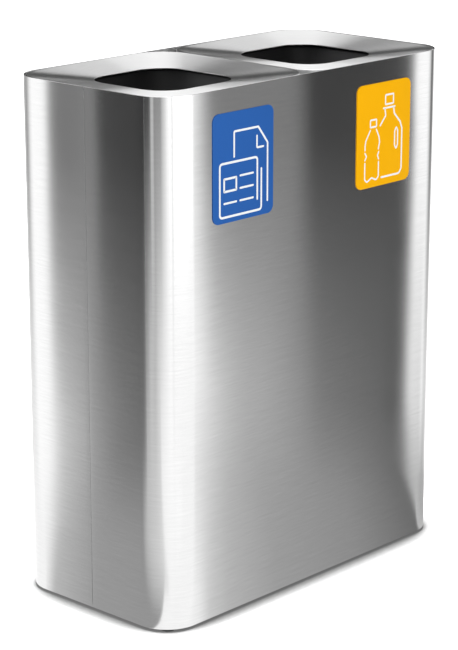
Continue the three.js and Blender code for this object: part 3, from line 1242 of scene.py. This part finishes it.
@dataclass
class Base:
    """The bottom tray with its feet, screws and nuts."""

    finishes: Finishes
    sheet: float = 2 * MM
    bend_inside: float = 1.5 * MM
    corner_radius: float = 58.5 * MM
    hole_radius: float = 3.3 * MM
    foot_draft: float = 1 * MM
    foot_round: float = 0.8 * MM
    recess_radius: float = 5.8 * MM
    recess_top: float = 3.7 * MM
    head_radius: float = 5.5 * MM
    head_height: float = 2.8 * MM
    shank_radius: float = 3 * MM
    head_crown: Sequence[Point] = ((0.6, 0.0), (0.86, 0.25 * MM), (1.0, 0.9 * MM))
    thread_pitch: float = 1 * MM
    thread_root: float = 0.9
    shank_tip: float = 0.85
    pole_radius: float = 0.05 * MM
    drive_reach: float = 2.1 * MM
    drive_half: float = 0.4 * MM
    drive_depth: float = 1.4 * MM
    nut_chamfer: float = 0.5 * MM
    tray_steps: int = 16
    bend_steps: int = 5
    hole_sides: int = 24
    foot_sides: int = 48
    screw_sides: int = 32
    nut_sides: int = 6
    nut_side_pieces: int = 4
    foot_sharp: float = math.radians(50)

    def names(self, stem: str) -> list[str]:
        """Lists the six CAD nodes of a kind, such as foot or foot_nut."""
        columns = ("left", "middle", "right")
        return [f"{stem}_{row}_{column}" for row in ("front", "rear") for column in columns]

    def places(self) -> list[Place]:
        """Finds the middle of each foot, on the floor.

        Returns:
            The six places.
        """
        spots = []
        for name in self.names("foot"):
            low, high = node_box(name)
            spots.append(Place(Vector(((low.x + high.x) / 2, (low.y + high.y) / 2, 0.0))))
        return spots

    def tray(self) -> bpy.types.Object:
        """Lofts the tray and cuts the screws' holes.

        Returns:
            The tray.
        """
        low, high = node_box("base_pan")
        half = (high - low) / 2
        outside = self.bend_inside + self.sheet
        bend_z = low.z + outside
        turns = [(math.cos(t), math.sin(t)) for t in quarter_turns(self.bend_steps)]
        pairs = [(outside * (1 - sin), bend_z - outside * cos) for cos, sin in turns]
        pairs += [(0.0, high.z), (self.sheet, high.z)]
        pairs += [(outside - self.bend_inside * cos, bend_z - self.bend_inside * sin) for cos, sin in turns]
        rings = []
        for inset, z in pairs:
            outline = rounded_outline(
                half.x - inset, half.y - inset, self.corner_radius - inset, self.tray_steps
            )
            rings.append([Vector((x, y, z)) for x, y in outline])
        piece = loft("base_tray", rings, joined=False)
        hole = circle(self.hole_radius, self.hole_sides)
        bars = [
            extruded("hole_tool", hole, low.z - TOOL_PAST, high.z, Matrix.Translation(place.at))
            for place in self.places()
        ]
        cut_away(piece, join("hole_tools", bars))
        piece.data.materials.clear()
        piece.data.materials.append(self.finishes.mill)
        smooth(piece)
        return piece

    def foot(self) -> bpy.types.Object:
        """Turns one rubber foot, about its own middle.

        Returns:
            The foot.
        """
        low, high = node_box("foot_front_middle")
        radius, top, soft = (high.x - low.x) / 2, high.z, self.foot_round
        little, third, part = (soft * share for share in (0.1, 0.3, 0.4))
        profile = [
            (self.recess_radius, 0.0),
            (radius - self.foot_draft - soft, 0.0),
            (radius - self.foot_draft - third, third),
            (radius - self.foot_draft + little, soft),
            (radius - little, top - soft),
            (radius - part, top - third),
            (radius - soft, top),
            (self.hole_radius, top),
            (self.hole_radius, self.recess_top),
            (self.recess_radius, self.recess_top),
        ]
        piece = turned_piece("foot_template", profile, self.foot_sides)
        smooth(piece, self.foot_sharp)
        return piece

    def screw(self) -> bpy.types.Object:
        """Turns one pan-head screw with a cross recess, its head down.

        Returns:
            The screw.
        """
        low, high = node_box("foot_screw_front_middle")
        head_top = low.z + self.head_height
        profile = [(self.pole_radius, low.z)]
        profile += [(self.head_radius * share, low.z + rise) for share, rise in self.head_crown]
        profile.append((self.head_radius, head_top))
        pitch = self.thread_pitch
        for turn in range(int((high.z - head_top) / pitch)):
            z = head_top + turn * pitch
            profile += [(self.shank_radius * self.thread_root, z), (self.shank_radius, z + pitch / 2)]
        profile += [(self.shank_radius * self.shank_tip, high.z), (self.pole_radius, high.z)]
        piece = turned_piece("screw_template", profile, self.screw_sides)
        arm, half = self.drive_reach, self.drive_half
        cross = [
            (x * cos - y * sin, x * sin + y * cos)
            for cos, sin in ((1, 0), (0, 1), (-1, 0), (0, -1))
            for x, y in ((arm, half), (half, half), (half, arm))
        ]
        deep = low.z + self.drive_depth
        cut_away(piece, extruded("drive_tool", cross, low.z - TOOL_PAST, deep, Matrix.Identity(4)))
        smooth(piece)
        return piece

    def nut(self) -> bpy.types.Object:
        """Makes one hexagon nut with chamfered corners and its bore.

        Returns:
            The nut.
        """
        low, high = node_box("foot_nut_front_middle")
        half_x, half_y = (high.x - low.x) / 2, (high.y - low.y) / 2
        radius = max(half_x, half_y)
        cut = self.nut_chamfer
        outline = circle(radius, self.nut_sides, QUARTER)
        if half_x > half_y:
            outline = [(y, -x) for x, y in outline]
        fine = [
            point
            for start, end in zip(outline, outline[1:] + outline[:1])
            for point in between(start, end, self.nut_side_pieces)
        ]
        limit = radius - cut
        rings = []
        for z, reach in ((low.z, limit), (low.z + cut, radius), (high.z - cut, radius), (high.z, limit)):
            rings.append([Vector((*shortened(point, reach), z)) for point in fine])
        bore = [shortened(point, self.hole_radius) for point in fine]
        rings += [[Vector((x, y, z)) for x, y in bore] for z in (high.z, low.z)]
        piece = loft("nut_template", rings, joined=True)
        smooth(piece)
        return piece

    def dress(self) -> None:
        """Puts the tray and its fastenings in the frame."""
        settle(self.tray(), Body.HOUSING, ["base_pan"])
        kinds: list[tuple[str, Callable[[], bpy.types.Object], bpy.types.Material, Slot, float, str]] = [
            ("rubber_feet", self.foot, self.finishes.rubber, Slot.RUBBER, 0.0, "foot"),
            ("foot_screws", self.screw, self.finishes.zinc, Slot.ZINC, QUARTER, "foot_screw"),
            ("foot_nuts", self.nut, self.finishes.zinc, Slot.ZINC, 0.0, "foot_nut"),
        ]
        for name, make, material, slot, turn, stem in kinds:
            piece = repeat(name, make(), self.places(), material, turn)
            settle(piece, Body.HOUSING, self.names(stem))


def between(start: Point, end: Point, pieces: int) -> list[Point]:
    """Divides a straight line, its end left out."""
    shares = [piece / pieces for piece in range(pieces)]
    return [(start[0] + (end[0] - start[0]) * s, start[1] + (end[1] - start[1]) * s) for s in shares]


def shortened(point: Point, reach: float) -> Point:
    """Draws a point in to a distance from the origin, if it lies further out."""
    scale = min(1.0, reach / math.hypot(*point))
    return point[0] * scale, point[1] * scale


@dataclass
class InnerSteel:
    """Folded sheet inside the shell: seam strip, divider, rail, lid rests and their spot welds."""

    finishes: Finishes
    rest_sheet: float = 1.5 * MM
    rail_sheet: float = 1.5 * MM
    divider_sheet: float = 1 * MM
    bend_inside: float = 1 * MM
    edge_round: float = 0.25 * MM
    strip_corner: float = 3 * MM
    strip_steps: int = 6
    weld_radius: float = 2.6 * MM
    weld_depth: float = 0.12 * MM
    weld_spacing: float = 60 * MM
    weld_up_leg: float = 9 * MM
    weld_across_flange: float = 8 * MM
    weld_sides: int = 20
    weld_pole: float = 0.02 * MM
    weld_crest: float = 0.82
    weld_dip: float = 0.62
    weld_foot: float = 0.1

    def finish(self, piece: bpy.types.Object, node: str) -> None:
        """Dresses a folded piece and puts it in the frame.

        Args:
            piece: The piece.
            node: The CAD node that it stands for.
        """
        piece.data.materials.append(self.finishes.mill)
        smooth(piece)
        bevel(piece, self.edge_round)
        settle(piece, Body.HOUSING, [node])

    def strip(self) -> bpy.types.Object:
        """Makes the flat strip behind the seam, its corners cut round.

        Returns:
            The strip.
        """
        low, high = node_box("seam_strip")
        half = (high - low) / 2
        outline = rounded_outline(half.y, half.z, self.strip_corner, self.strip_steps)
        return extruded("seam_backing_strip", outline, low.x, high.x, facing_x((low.z + high.z) / 2))

    def divider(self) -> bpy.types.Object:
        """Folds the divider's edges along the long walls.

        Returns:
            The divider.
        """
        low, high = node_box("divider_panel")
        outer = [(high.x, high.y), (low.x, high.y), (low.x, low.y), (high.x, low.y)]
        section = folded_sheet(outer, self.divider_sheet, self.bend_inside)
        return extruded("divider_sheet", section, low.z, high.z, Matrix.Identity(4))

    def rail(self) -> bpy.types.Object:
        """Folds the channel under the line where the lids meet.

        Returns:
            The rail.
        """
        low, high = node_box("centre_rail")
        outer = [(high.x, low.z), (high.x, high.z), (low.x, high.z), (low.x, low.z)]
        section = folded_sheet(outer, self.rail_sheet, self.bend_inside)
        return extruded("centre_rail_channel", section, low.y, high.y, facing_y())

    def rest(self, node: str) -> bpy.types.Object:
        """Folds one short angle, against whichever wall its node stands.

        Args:
            node: The CAD node that it stands for.

        Returns:
            The angle.
        """
        low, high = node_box(node)
        along_y = (high.y - low.y) > (high.x - low.x)
        near, far = (low.x, high.x) if along_y else (low.y, high.y)
        wall, free = (near, far) if near + far < 0 else (far, near)
        outer = [(wall, low.z), (wall, high.z), (free, high.z)]
        section = folded_sheet(outer if wall > free else outer[::-1], self.rest_sheet, self.bend_inside)
        placed = (low.y, high.y, facing_y()) if along_y else (low.x, high.x, facing_x())
        return extruded(f"{node}_angle", section, *placed)

    def weld_places(self) -> list[Place]:
        """Finds the spot welds on the rests' upright legs and down the divider's flanges.

        Returns:
            Their places.
        """
        spots = []
        for node in self.rest_nodes():
            low, high = node_box(node)
            middle = (low + high) / 2
            along_y = (high.y - low.y) > (high.x - low.x)
            inner = self.rest_sheet + self.weld_depth / 2
            z = low.z + self.weld_up_leg
            sign = math.copysign(1, middle.x if along_y else middle.y)
            wall = high if sign > 0 else low
            for shift in (-self.weld_spacing, 0.0, self.weld_spacing):
                if along_y:
                    at, facing = Vector((wall.x - sign * inner, shift, z)), Vector((-sign, 0, 0))
                else:
                    at, facing = Vector((middle.x + shift, wall.y - sign * inner, z)), Vector((0, -sign, 0))
                spots.append(Place(at, facing))
        low, high = node_box("divider_panel")
        inner = self.divider_sheet + self.weld_depth / 2
        count = int((high.z - low.z) / self.weld_spacing)
        for index in range(count):
            z = low.z + (index + 0.5) * self.weld_spacing
            spots.append(Place(Vector((self.weld_across_flange, low.y + inner, z)), Vector((0, 1, 0))))
            spots.append(Place(Vector((self.weld_across_flange, high.y - inner, z)), Vector((0, -1, 0))))
        return spots

    def rest_nodes(self) -> list[str]:
        """Lists the six CAD nodes of the lid rests."""
        return [f"rest_{wall}_{side.word}" for wall in ("end", "front", "rear") for side in Side]

    def weld(self) -> bpy.types.Object:
        """Makes one spot weld: a shallow ring round a sunk middle.

        Returns:
            The weld.
        """
        radius, rise = self.weld_radius, self.weld_depth
        profile = [
            (self.weld_pole, -rise / 2),
            (radius, -rise / 2),
            (radius, rise * self.weld_foot),
            (radius * self.weld_crest, rise / 2),
            (radius * self.weld_dip, rise * self.weld_foot),
            (self.weld_pole, 0.0),
        ]
        piece = turned_piece("weld_template", profile, self.weld_sides)
        smooth(piece, BEVEL_ANGLE)
        return piece

    def dress(self) -> None:
        """Puts the folded pieces and their welds in the frame."""
        self.finish(self.strip(), "seam_strip")
        self.finish(self.divider(), "divider_panel")
        self.finish(self.rail(), "centre_rail")
        for node in self.rest_nodes():
            self.finish(self.rest(node), node)
        welds = repeat("spot_welds", self.weld(), self.weld_places(), self.finishes.weld, TAU)
        settle(welds, Body.HOUSING)


@dataclass(frozen=True)
class Stroke:
    """One white line of a sign, in millimetres from the plate's middle, across and up."""

    points: Sequence[Point]
    fillet: float = 2.0
    closed: bool = False
    width: float = 3.0


NEWSPAPER = (
    Stroke(((32, -60), (32, 8), (-55, 8), (-55, -78), (41.5, -78), (41.5, -12)), 6.0, False, 3.6),
    Stroke(((-45, -17), (-17, -17), (-17, -37), (-45, -37)), 0.5, True, 3.6),
    Stroke(((-8, -16), (22, -16)), 0, False, 3.2),
    Stroke(((-8, -36), (22, -36)), 0, False, 3.2),
    Stroke(((-45, -56), (-17, -56)), 0, False, 3.2),
    Stroke(((-8, -56), (22, -56)), 0, False, 3.2),
    Stroke(((-22, 16), (-22, 56), (34, 56), (56, 28), (56, -66)), 2.4, False, 3.4),
    Stroke(((31, 42), (31, 23), (46, 23)), 2.2, False, 3.2),
)
BOTTLES = (
    Stroke(((-36, 15), (-20, 15), (-20, 27), (-36, 27)), 1.5, True, 3.0),
    Stroke(((-36, 10), (-47, -6), (-49, -14), (-49, -22)), 5.0, False, 2.8),
    Stroke(((-20, 10), (-13, -3), (-11, -12), (-14, -24)), 5.0, False, 2.8),
    Stroke(((-49, -27), (-45, -33), (-49, -39)), 2.0, False, 2.8),
    Stroke(((-13, -29), (-16, -35), (-13, -41)), 2.0, False, 2.8),
    Stroke(
        ((-49, -44), (-49, -72), (-43, -77), (-31, -71), (-19, -76), (-13, -71), (-13, -46)), 4.0, False, 2.8
    ),
    Stroke(((3, 49), (24, 49), (24, 65), (3, 65)), 1.5, True, 3.0),
    Stroke(((-2, 43), (28, 43)), 0, False, 3.0),
    Stroke(((2, 41), (4, 30), (-10, 15)), 3.0, False, 3.0),
    Stroke(((25, 41), (27, 31), (43, 15), (48, 3), (48, -66), (42, -74), (-5, -74)), 6.0, False, 3.2),
    Stroke(((33, 8), (37, 0), (37, -23), (33, -31), (29, -23), (29, 0)), 4.0, True, 2.8),
)


@dataclass
class Sign:
    """A thin rounded plate on the front, with a line drawing of what goes in below it."""

    side: Side
    node: str
    strokes: Sequence[Stroke]
    film: bpy.types.Material
    ink: bpy.types.Material
    slot: Slot
    radius: float = 13 * MM
    edge_round: float = 0.3 * MM
    ink_rise: float = 0.1 * MM
    ink_root: float = 0.15 * MM
    cap_steps: int = 5
    edge_steps: int = 3
    corner_steps: int = 12
    line_steps: int = 5

    def plate(self) -> bpy.types.Object:
        """Raises the plate, its front edge rounded, a print's thickness below the CAD face.

        Returns:
            The plate.
        """
        low, high = node_box(self.node)
        half = (high - low) / 2
        front = low.y + self.ink_rise
        levels = [(0.0, high.y)]
        for turn in quarter_turns(self.edge_steps):
            inset = self.edge_round * (1 - math.cos(turn))
            levels.append((inset, front + self.edge_round * (1 - math.sin(turn))))
        rings = []
        for inset, y in levels:
            outline = rounded_outline(half.x - inset, half.z - inset, self.radius - inset, self.corner_steps)
            rings.append([self.place(x, z, y) for x, z in outline])
        piece = loft(f"{self.side.word}_sign_plate", rings, joined=False)
        smooth(piece)
        piece.data.materials.append(self.film)
        return piece

    def place(self, across: float, up: float, y: float) -> Vector:
        """Puts a point of the sign's own plane in the frame."""
        low, high = node_box(self.node)
        return Vector(((low.x + high.x) / 2 + across, y, (low.z + high.z) / 2 + up))

    def ribbon(self, index: int, stroke: Stroke) -> bpy.types.Object:
        """Makes one line of the drawing as a thin raised ribbon.

        Args:
            index: The stroke's number.
            stroke: The line.

        Returns:
            The ribbon.
        """
        low, _ = node_box(self.node)
        line = [(x * MM, z * MM) for x, z in stroke.points]
        if stroke.fillet:
            line = filleted(line, stroke.fillet * MM, self.line_steps, stroke.closed)
        half = stroke.width * MM / 2
        left, right = (offset_path(line, side * half, stroke.closed) for side in (1, -1))
        root, face = low.y + self.ink_root, low.y
        if stroke.closed:
            edges = [(left, root), (left, face), (right, face), (right, root)]
        else:
            last, first = self.cap(line[-2], line[-1], half), self.cap(line[1], line[0], half)
            outline = left + last + right[::-1] + first
            edges = [(outline, root), (outline, face)]
        rings = [[self.place(*point, level) for point in edge] for edge, level in edges]
        return loft(f"{self.side.word}_ink_{index}", rings, joined=stroke.closed)

    def cap(self, before: Point, end: Point, half: float) -> list[Point]:
        """Draws the round end of a line.

        Args:
            before: The point before its end.
            end: Its end.
            half: Half its width.

        Returns:
            The points of the half round, from its left to its right.
        """
        heading = math.atan2(end[1] - before[1], end[0] - before[0])
        angles = [heading + QUARTER - math.pi * step / self.cap_steps for step in range(1, self.cap_steps)]
        return [(end[0] + half * math.cos(a), end[1] + half * math.sin(a)) for a in angles]

    def dress(self) -> None:
        """Puts the plate and its drawing in the frame."""
        settle(self.plate(), Body.HOUSING, [self.node])
        ribbons = [self.ribbon(index, stroke) for index, stroke in enumerate(self.strokes)]
        drawing = join(f"{self.side.word}_sign_drawing", ribbons)
        drawing.data.materials.append(self.ink)
        settle(drawing, Body.HOUSING)


# ---------- Studio ----------


@dataclass(frozen=True)
class Card:
    """A glowing card beside the bin, seen only in reflections, with a foot that lies on the floor; its tones
    are painted reflections for the steel.

    It stands at a distance from the bin's middle, in a direction that is an angle from +X towards
    +Y. Its tones are stops of (metres across it, level): high up, low down, and along its foot.
    """

    name: str
    direction: float
    distance: float
    high: Stops
    low: Stops
    foot: Stops = ()
    top: float = 1.7
    reach: float = 0.7
    upper_blend: Point = (0.2, 0.68)
    lower_blend: Point = (-0.02, 0.16)
    lift: float = 0.5 * MM

    def build(self) -> bpy.types.Object:
        """Makes the card, with a map of metres across and up.

        Returns:
            The card.
        """
        turn = math.radians(self.direction)
        away = Vector((math.cos(turn), math.sin(turn), 0))
        along = Vector((-math.sin(turn), math.cos(turn), 0))
        start, end = self.low[0][0], self.low[-1][0]
        profile = [(self.distance, self.top, self.top), (self.distance, self.lift, 0.0)]
        profile.append((self.distance - self.reach, self.lift, -self.reach))
        points, places = [], []
        for out, z, rise in profile:
            for across in (start, end):
                points.append(away * out + along * across + Vector((0, 0, z)))
                places.append((across, rise))
        faces = [(2 * row, 2 * row + 1, 2 * row + 3, 2 * row + 2) for row in range(len(profile) - 1)]
        piece = bare_object(self.name, points, faces=faces)
        layer = piece.data.uv_layers.new(name=CARD_MAP)
        for corner, loop in zip(layer.data, piece.data.loops):
            corner.uv = places[loop.vertex_index]
        piece.data.materials.append(self.material())
        only_mirrored(piece)
        return piece

    def material(self) -> bpy.types.Material:
        """Builds the card's glowing tones, painted reflections which pass from those of its upper part to
        those of its foot.

        Returns:
            The material.
        """
        material, graph = shader_graph(self.name)
        place = graph.add("ShaderNodeSeparateXYZ", {0: graph.add("ShaderNodeUVMap", uv_map=CARD_MAP)})
        start, end = self.low[0][0], self.low[-1][0]
        share = graph.spread(place.outputs[0], 0.0, 1.0, (start, end))
        high, low, foot = (
            graph.ramp(share, [((at - start) / (end - start), level) for at, level in stops])
            for stops in (self.high, self.low, self.foot or self.low)
        )
        lower = graph.spread(place.outputs[1], 0.0, 1.0, self.lower_blend)
        upper = graph.spread(place.outputs[1], 0.0, 1.0, self.upper_blend)
        tone = graph.mixed(upper, graph.mixed(lower, foot, low), high)
        close_surface(graph, graph.add("ShaderNodeEmission", {"Color": tone}))
        material.cycles.emission_sampling = "NONE"
        return material


@dataclass(frozen=True)
class Band:
    """A graded band round the room, seen only in reflections: it gives the lids their dark sectors.

    Its tones are stops of (degrees above the lids, level).
    """

    name: str
    radius: float
    tones: Stops
    start: float = 0.0
    sweep: float = 360.0
    sides: int = 48

    def height(self, degrees: float) -> float:
        """Gives the height on the band at an angle above the lids."""
        return CAD_BOX[1].z + self.radius * math.tan(math.radians(degrees))

    def build(self) -> bpy.types.Object:
        """Hangs the band.

        Returns:
            The band.
        """
        low, high = self.height(self.tones[0][0]), self.height(self.tones[-1][0])
        count = self.sides + 1
        angles = [math.radians(self.start + self.sweep * side / self.sides) for side in range(count)]
        plan = [(self.radius * math.cos(a), self.radius * math.sin(a)) for a in angles]
        points = [(x, y, z) for z in (low, high) for x, y in plan]
        faces = [(side, side + 1, count + side + 1, count + side) for side in range(self.sides)]
        piece = bare_object(self.name, points, faces=faces)
        material, graph = shader_graph(self.name)
        place = graph.add("ShaderNodeSeparateXYZ", {0: graph.add("ShaderNodeTexCoord").outputs["Object"]})
        share = graph.spread(place.outputs[2], 0.0, 1.0, (low, high))
        stops = [((self.height(degrees) - low) / (high - low), level) for degrees, level in self.tones]
        close_surface(graph, graph.add("ShaderNodeEmission", {"Color": graph.ramp(share, stops)}))
        material.cycles.emission_sampling = "NONE"
        piece.data.materials.append(material)
        only_mirrored(piece)
        return piece


def only_mirrored(piece: bpy.types.Object) -> None:
    """Lets a studio piece show in reflections and nowhere else.

    Args:
        piece: The piece.
    """
    piece.visible_camera = False
    piece.visible_diffuse = False
    piece.visible_shadow = False
    piece.visible_transmission = False


@dataclass(frozen=True)
class Softbox:
    """A flat soft lamp that faces the bin."""

    name: str
    direction: float
    distance: float
    height: float
    width: float
    tall: float
    radiance: float
    mirrored: bool = True

    def build(self) -> bpy.types.Object:
        """Hangs the lamp.

        Returns:
            The lamp.
        """
        turn = math.radians(self.direction)
        light = bpy.data.lights.new(self.name, "AREA")
        light.shape = "RECTANGLE"
        light.size, light.size_y = self.width, self.tall
        light.energy = self.radiance * math.pi * self.width * self.tall
        lamp = linked(self.name, light)
        lamp.location = (self.distance * math.cos(turn), self.distance * math.sin(turn), self.height)
        aim = Vector((0, 0, BIN_MIDDLE)) - lamp.location
        lamp.rotation_euler = aim.to_track_quat("-Z", "Y").to_euler()
        lamp.visible_camera = False
        lamp.visible_glossy = self.mirrored
        return lamp


BANDS = (
    Band("room_band", 6.0, ((3.5, 0.9), (5.0, 0.05), (14.0, 0.05), (16.5, 0.9))),
    Band("bright_band", 5.9, ((16.0, 0.7), (22.0, 1.2), (55.0, 1.2)), -30.0, 66.0),
    Band("dim_band", 5.9, ((14.0, 0.05), (50.0, 0.05)), 49.0, 91.0),
)
# glowing cards: their tone stops are painted reflections for the steel's faces
CARDS = (
    Card(
        "front_card", -44.0, 0.62,
        high=((-0.36, 1.25), (-0.325, 1.2), (-0.312, 0.87), (-0.3, 0.45), (-0.288, 0.24), (-0.135, 0.24),
              (-0.115, 0.14), (-0.102, 0.06), (0.07, 0.06), (0.082, 0.2), (0.09, 1.25), (0.15, 1.2),
              (0.22, 0.85), (0.3, 0.2), (0.42, 0.25), (0.55, 0.9), (0.7, 1.0)),
        low=((-0.36, 1.25), (-0.32, 1.2), (-0.301, 0.97), (-0.287, 0.78), (-0.231, 0.55), (-0.187, 0.49),
             (-0.119, 0.35), (-0.085, 0.24), (0.033, 0.16), (0.066, 0.08), (0.077, 0.18), (0.087, 1.1),
             (0.1, 0.88), (0.12, 0.92), (0.163, 1.1), (0.3, 0.8), (0.42, 0.85), (0.55, 1.2), (0.7, 1.2)),
        foot=((-0.36, 1.2), (-0.32, 1.05), (-0.301, 0.72), (-0.267, 0.56), (-0.187, 0.42), (-0.038, 0.33),
              (0.063, 0.2), (0.082, 0.18), (0.094, 0.6), (0.163, 0.5), (0.3, 0.5), (0.45, 0.95), (0.7, 1.15)),
        lift=0.9 * MM,
    ),
    Card(
        "left_card", 134.0, 0.62,
        high=((-0.4, 0.9), (-0.25, 0.45), (-0.15, 0.4), (-0.05, 0.6), (0.04, 1.05), (0.11, 1.25),
              (0.18, 1.25), (0.19, 0.3), (0.2, 0.19), (0.25, 0.25), (0.265, 0.25), (0.277, 0.06),
              (0.6, 0.05)),
        low=((-0.4, 1.15), (-0.2, 0.95), (0.0, 1.1), (0.11, 1.25), (0.18, 1.25),
             (0.19, 0.85), (0.203, 0.66), (0.24, 0.5), (0.262, 0.38), (0.3, 0.24), (0.336, 0.2), (0.5, 0.22),
             (0.6, 0.4)),
        foot=((-0.4, 1.1), (0.0, 1.15), (0.17, 1.15), (0.188, 0.6), (0.22, 0.5), (0.26, 0.4),
              (0.4, 0.36), (0.47, 0.55), (0.6, 0.75)),
        reach=0.47,
        lift=0.8 * MM,
    ),
    Card(
        "corner_card", 200.0, 1.2,
        high=((-0.62, 0.05), (-0.33, 0.06), (-0.24, 0.2), (-0.19, 0.6), (-0.1, 0.6), (-0.05, 0.3),
              (0.24, 0.3), (0.34, 0.6), (0.5, 0.9), (0.6, 1.15), (0.75, 1.25)),
        low=((-0.62, 0.35), (-0.5, 0.45), (-0.3, 0.7), (-0.11, 0.6), (0.07, 0.84), (0.3, 1.0), (0.75, 1.2)),
        foot=((-0.62, 0.6), (-0.11, 0.75), (0.12, 0.85), (0.16, 1.15), (0.75, 1.25)),
        reach=0.68,
        lift=0.7 * MM,
    ),
    Card(
        "rear_card", 43.0, 0.62,
        high=((-0.65, 0.9), (-0.45, 0.9), (-0.38, 0.6), (-0.2, 1.1), (-0.15, 1.1), (-0.12, 0.4),
              (-0.05, 0.08), (0.12, 0.1), (0.2, 0.3), (0.33, 1.2), (0.37, 0.3), (0.7, 0.36), (1.0, 0.6),
              (1.4, 1.0)),
        low=((-0.65, 1.2), (-0.38, 1.1), (-0.15, 1.1), (-0.12, 0.8), (-0.05, 0.3), (0.12, 0.35), (0.3, 1.0),
             (0.37, 0.72), (0.7, 0.75), (1.0, 0.95), (1.4, 1.15)),
        top=0.87,
        upper_blend=(0.3, 0.75),
    ),
)
SOFTBOXES = (
    Softbox("overhead_softbox", 0.0, 0.01, 3.4, 3.2, 3.2, 1.2),
    Softbox("front_softbox", -80.0, 3.5, 0.85, 4.4, 1.6, 1.25),
    Softbox("view_softbox", -137.0, 4.5, 1.2, 3.4, 2.4, 1.25),
    Softbox("right_softbox", 0.0, 3.4, 1.6, 2.4, 2.4, 1.2, mirrored=False),
    Softbox("left_softbox", 180.0, 2.6, 1.5, 1.6, 1.2, 8.0, mirrored=False),
    Softbox("rear_softbox", 100.0, 3.4, 1.3, 2.4, 2.4, 1.25, mirrored=False),
)


@dataclass
class Studio:
    """White floor with a painted contact shadow, white surroundings, soft lamps, and glowing cards whose
    painted tones the steel mirrors.
    """

    floor_half: float = 30.0
    fill: float = 0.6
    surroundings: float = 0.8
    floor_mirrored: float = 1.15
    floor_white: float = 0.8
    floor_gain: float = 2.4
    # painted contact shadow: ambient occlusion near the bin darkens the floor's colour for the camera, and an
    # even glow keeps it from going black
    shadow_reach: float = 0.09
    shadow_depth: float = 0.04
    shadow_least: float = 0.12
    shadow_span: Point = (0.5, 0.95)
    shadow_samples: int = 16

    def floor(self) -> None:
        """Lays the floor: white to the camera but for the bin's shadow, partly real and partly painted from
        ambient occlusion in its colour, deepest where they meet.
        """
        half = self.floor_half
        corners = [(-half, -half, 0), (half, -half, 0), (half, half, 0), (-half, half, 0)]
        piece = bare_object("studio_floor", corners, faces=[(0, 1, 2, 3)])
        material, graph = shader_graph("floor_white")
        seen = graph.add("ShaderNodeLightPath")
        plain = graph.add("ShaderNodeBsdfDiffuse", {"Color": (self.floor_white,) * 3 + (1.0,)})
        # painted shadow: the floor's colour falls with ambient occlusion near the bin
        nearness = graph.add(
            "ShaderNodeAmbientOcclusion", {"Distance": self.shadow_reach}, samples=self.shadow_samples
        )
        painted_shadow_share = graph.spread(nearness.outputs["AO"], self.shadow_depth, 1.0, self.shadow_span)
        level = graph.math("MULTIPLY", painted_shadow_share, self.floor_gain)
        shade = graph.add("ShaderNodeCombineColor", {0: level, 1: level, 2: level})
        shaded = graph.add("ShaderNodeBsdfDiffuse", {"Color": shade})
        lifted = graph.add("ShaderNodeEmission", {"Strength": self.shadow_least})
        bright = graph.add("ShaderNodeAddShader", {0: shaded, 1: lifted})
        glow = graph.add("ShaderNodeEmission", {"Strength": self.floor_mirrored})
        first = graph.add("ShaderNodeMixShader", {0: seen.outputs["Is Camera Ray"], 1: plain, 2: bright})
        close_surface(graph, graph.add("ShaderNodeMixShader", {0: graph.mirrored(seen), 1: first, 2: glow}))
        material.cycles.emission_sampling = "NONE"
        piece.data.materials.append(material)

    def world(self) -> None:
        """Sets white surroundings, and a softer fill for what is lit by them."""
        world = bpy.data.worlds.new("studio_world")
        bpy.context.scene.world = world
        world.use_nodes = True
        graph = Graph(world.node_tree)
        seen = graph.add("ShaderNodeLightPath")
        level = graph.spread(graph.mirrored(seen), self.fill, self.surroundings, (0.0, 1.0))
        strength = graph.math("MAXIMUM", level, seen.outputs["Is Camera Ray"])
        background = graph.add("ShaderNodeBackground", {"Color": (1.0,) * 4, "Strength": strength})
        graph.add("ShaderNodeOutputWorld", {"Surface": background})
        world.cycles.sampling_method = "NONE"

    def build(self) -> None:
        """Sets up everything round the bin."""
        self.floor()
        self.world()
        for fitting in (*BANDS, *CARDS, *SOFTBOXES):
            fitting.build()
        bpy.context.scene.view_settings.view_transform = "Standard"


@dataclass
class View:
    """The camera of the photograph, fitted to the bin's outline, rim, holes and signs."""

    azimuth: float = -47.19
    pitch: float = 15.79
    distance: float = 3.89059
    across: float = -12.05 * MM
    up: float = -18.94 * MM
    focal_pixels: float = 2272.08
    image_height: float = 650.0
    sensor: float = 36.0

    def build(self) -> bpy.types.Object:
        """Places the camera.

        Returns:
            The camera.
        """
        turn, tilt = math.radians(self.azimuth), math.radians(self.pitch)
        back = Vector((math.sin(turn) * math.cos(tilt), -math.cos(turn) * math.cos(tilt), math.sin(tilt)))
        right = Vector((math.cos(turn), math.sin(turn), 0))
        over = back.cross(right)
        low, high = CAD_BOX
        middle = Vector((0, 0, (low.z + high.z) / 2))
        data = bpy.data.cameras.new("photo_camera")
        data.sensor_width = self.sensor
        data.lens = self.focal_pixels / self.image_height * self.sensor
        camera = linked("photo_camera", data)
        camera.matrix_world = Matrix((right, over, back)).transposed().to_4x4()
        camera.location = middle + back * self.distance + right * self.across + over * self.up
        bpy.context.scene.camera = camera
        return camera


# ---------- The bin ----------


def main() -> None:
    """Builds the studio and the bin, in order."""
    logging.basicConfig(level=logging.INFO, format="%(name)s: %(message)s")
    View().build()
    Studio().build()
    finishes = Finishes.make()
    Shell(finishes).dress()
    InnerSteel(finishes).dress()
    Base(finishes).dress()
    for side in Side:
        Liner(side, finishes).dress()
        Lid(side, finishes).dress()
    Sign(Side.LEFT, "sign_paper", NEWSPAPER, finishes.blue, finishes.white, Slot.BLUE).dress()
    Sign(Side.RIGHT, "sign_bottles", BOTTLES, finishes.amber, finishes.white, Slot.AMBER).dress()


if __name__ == "__main__":
    main()
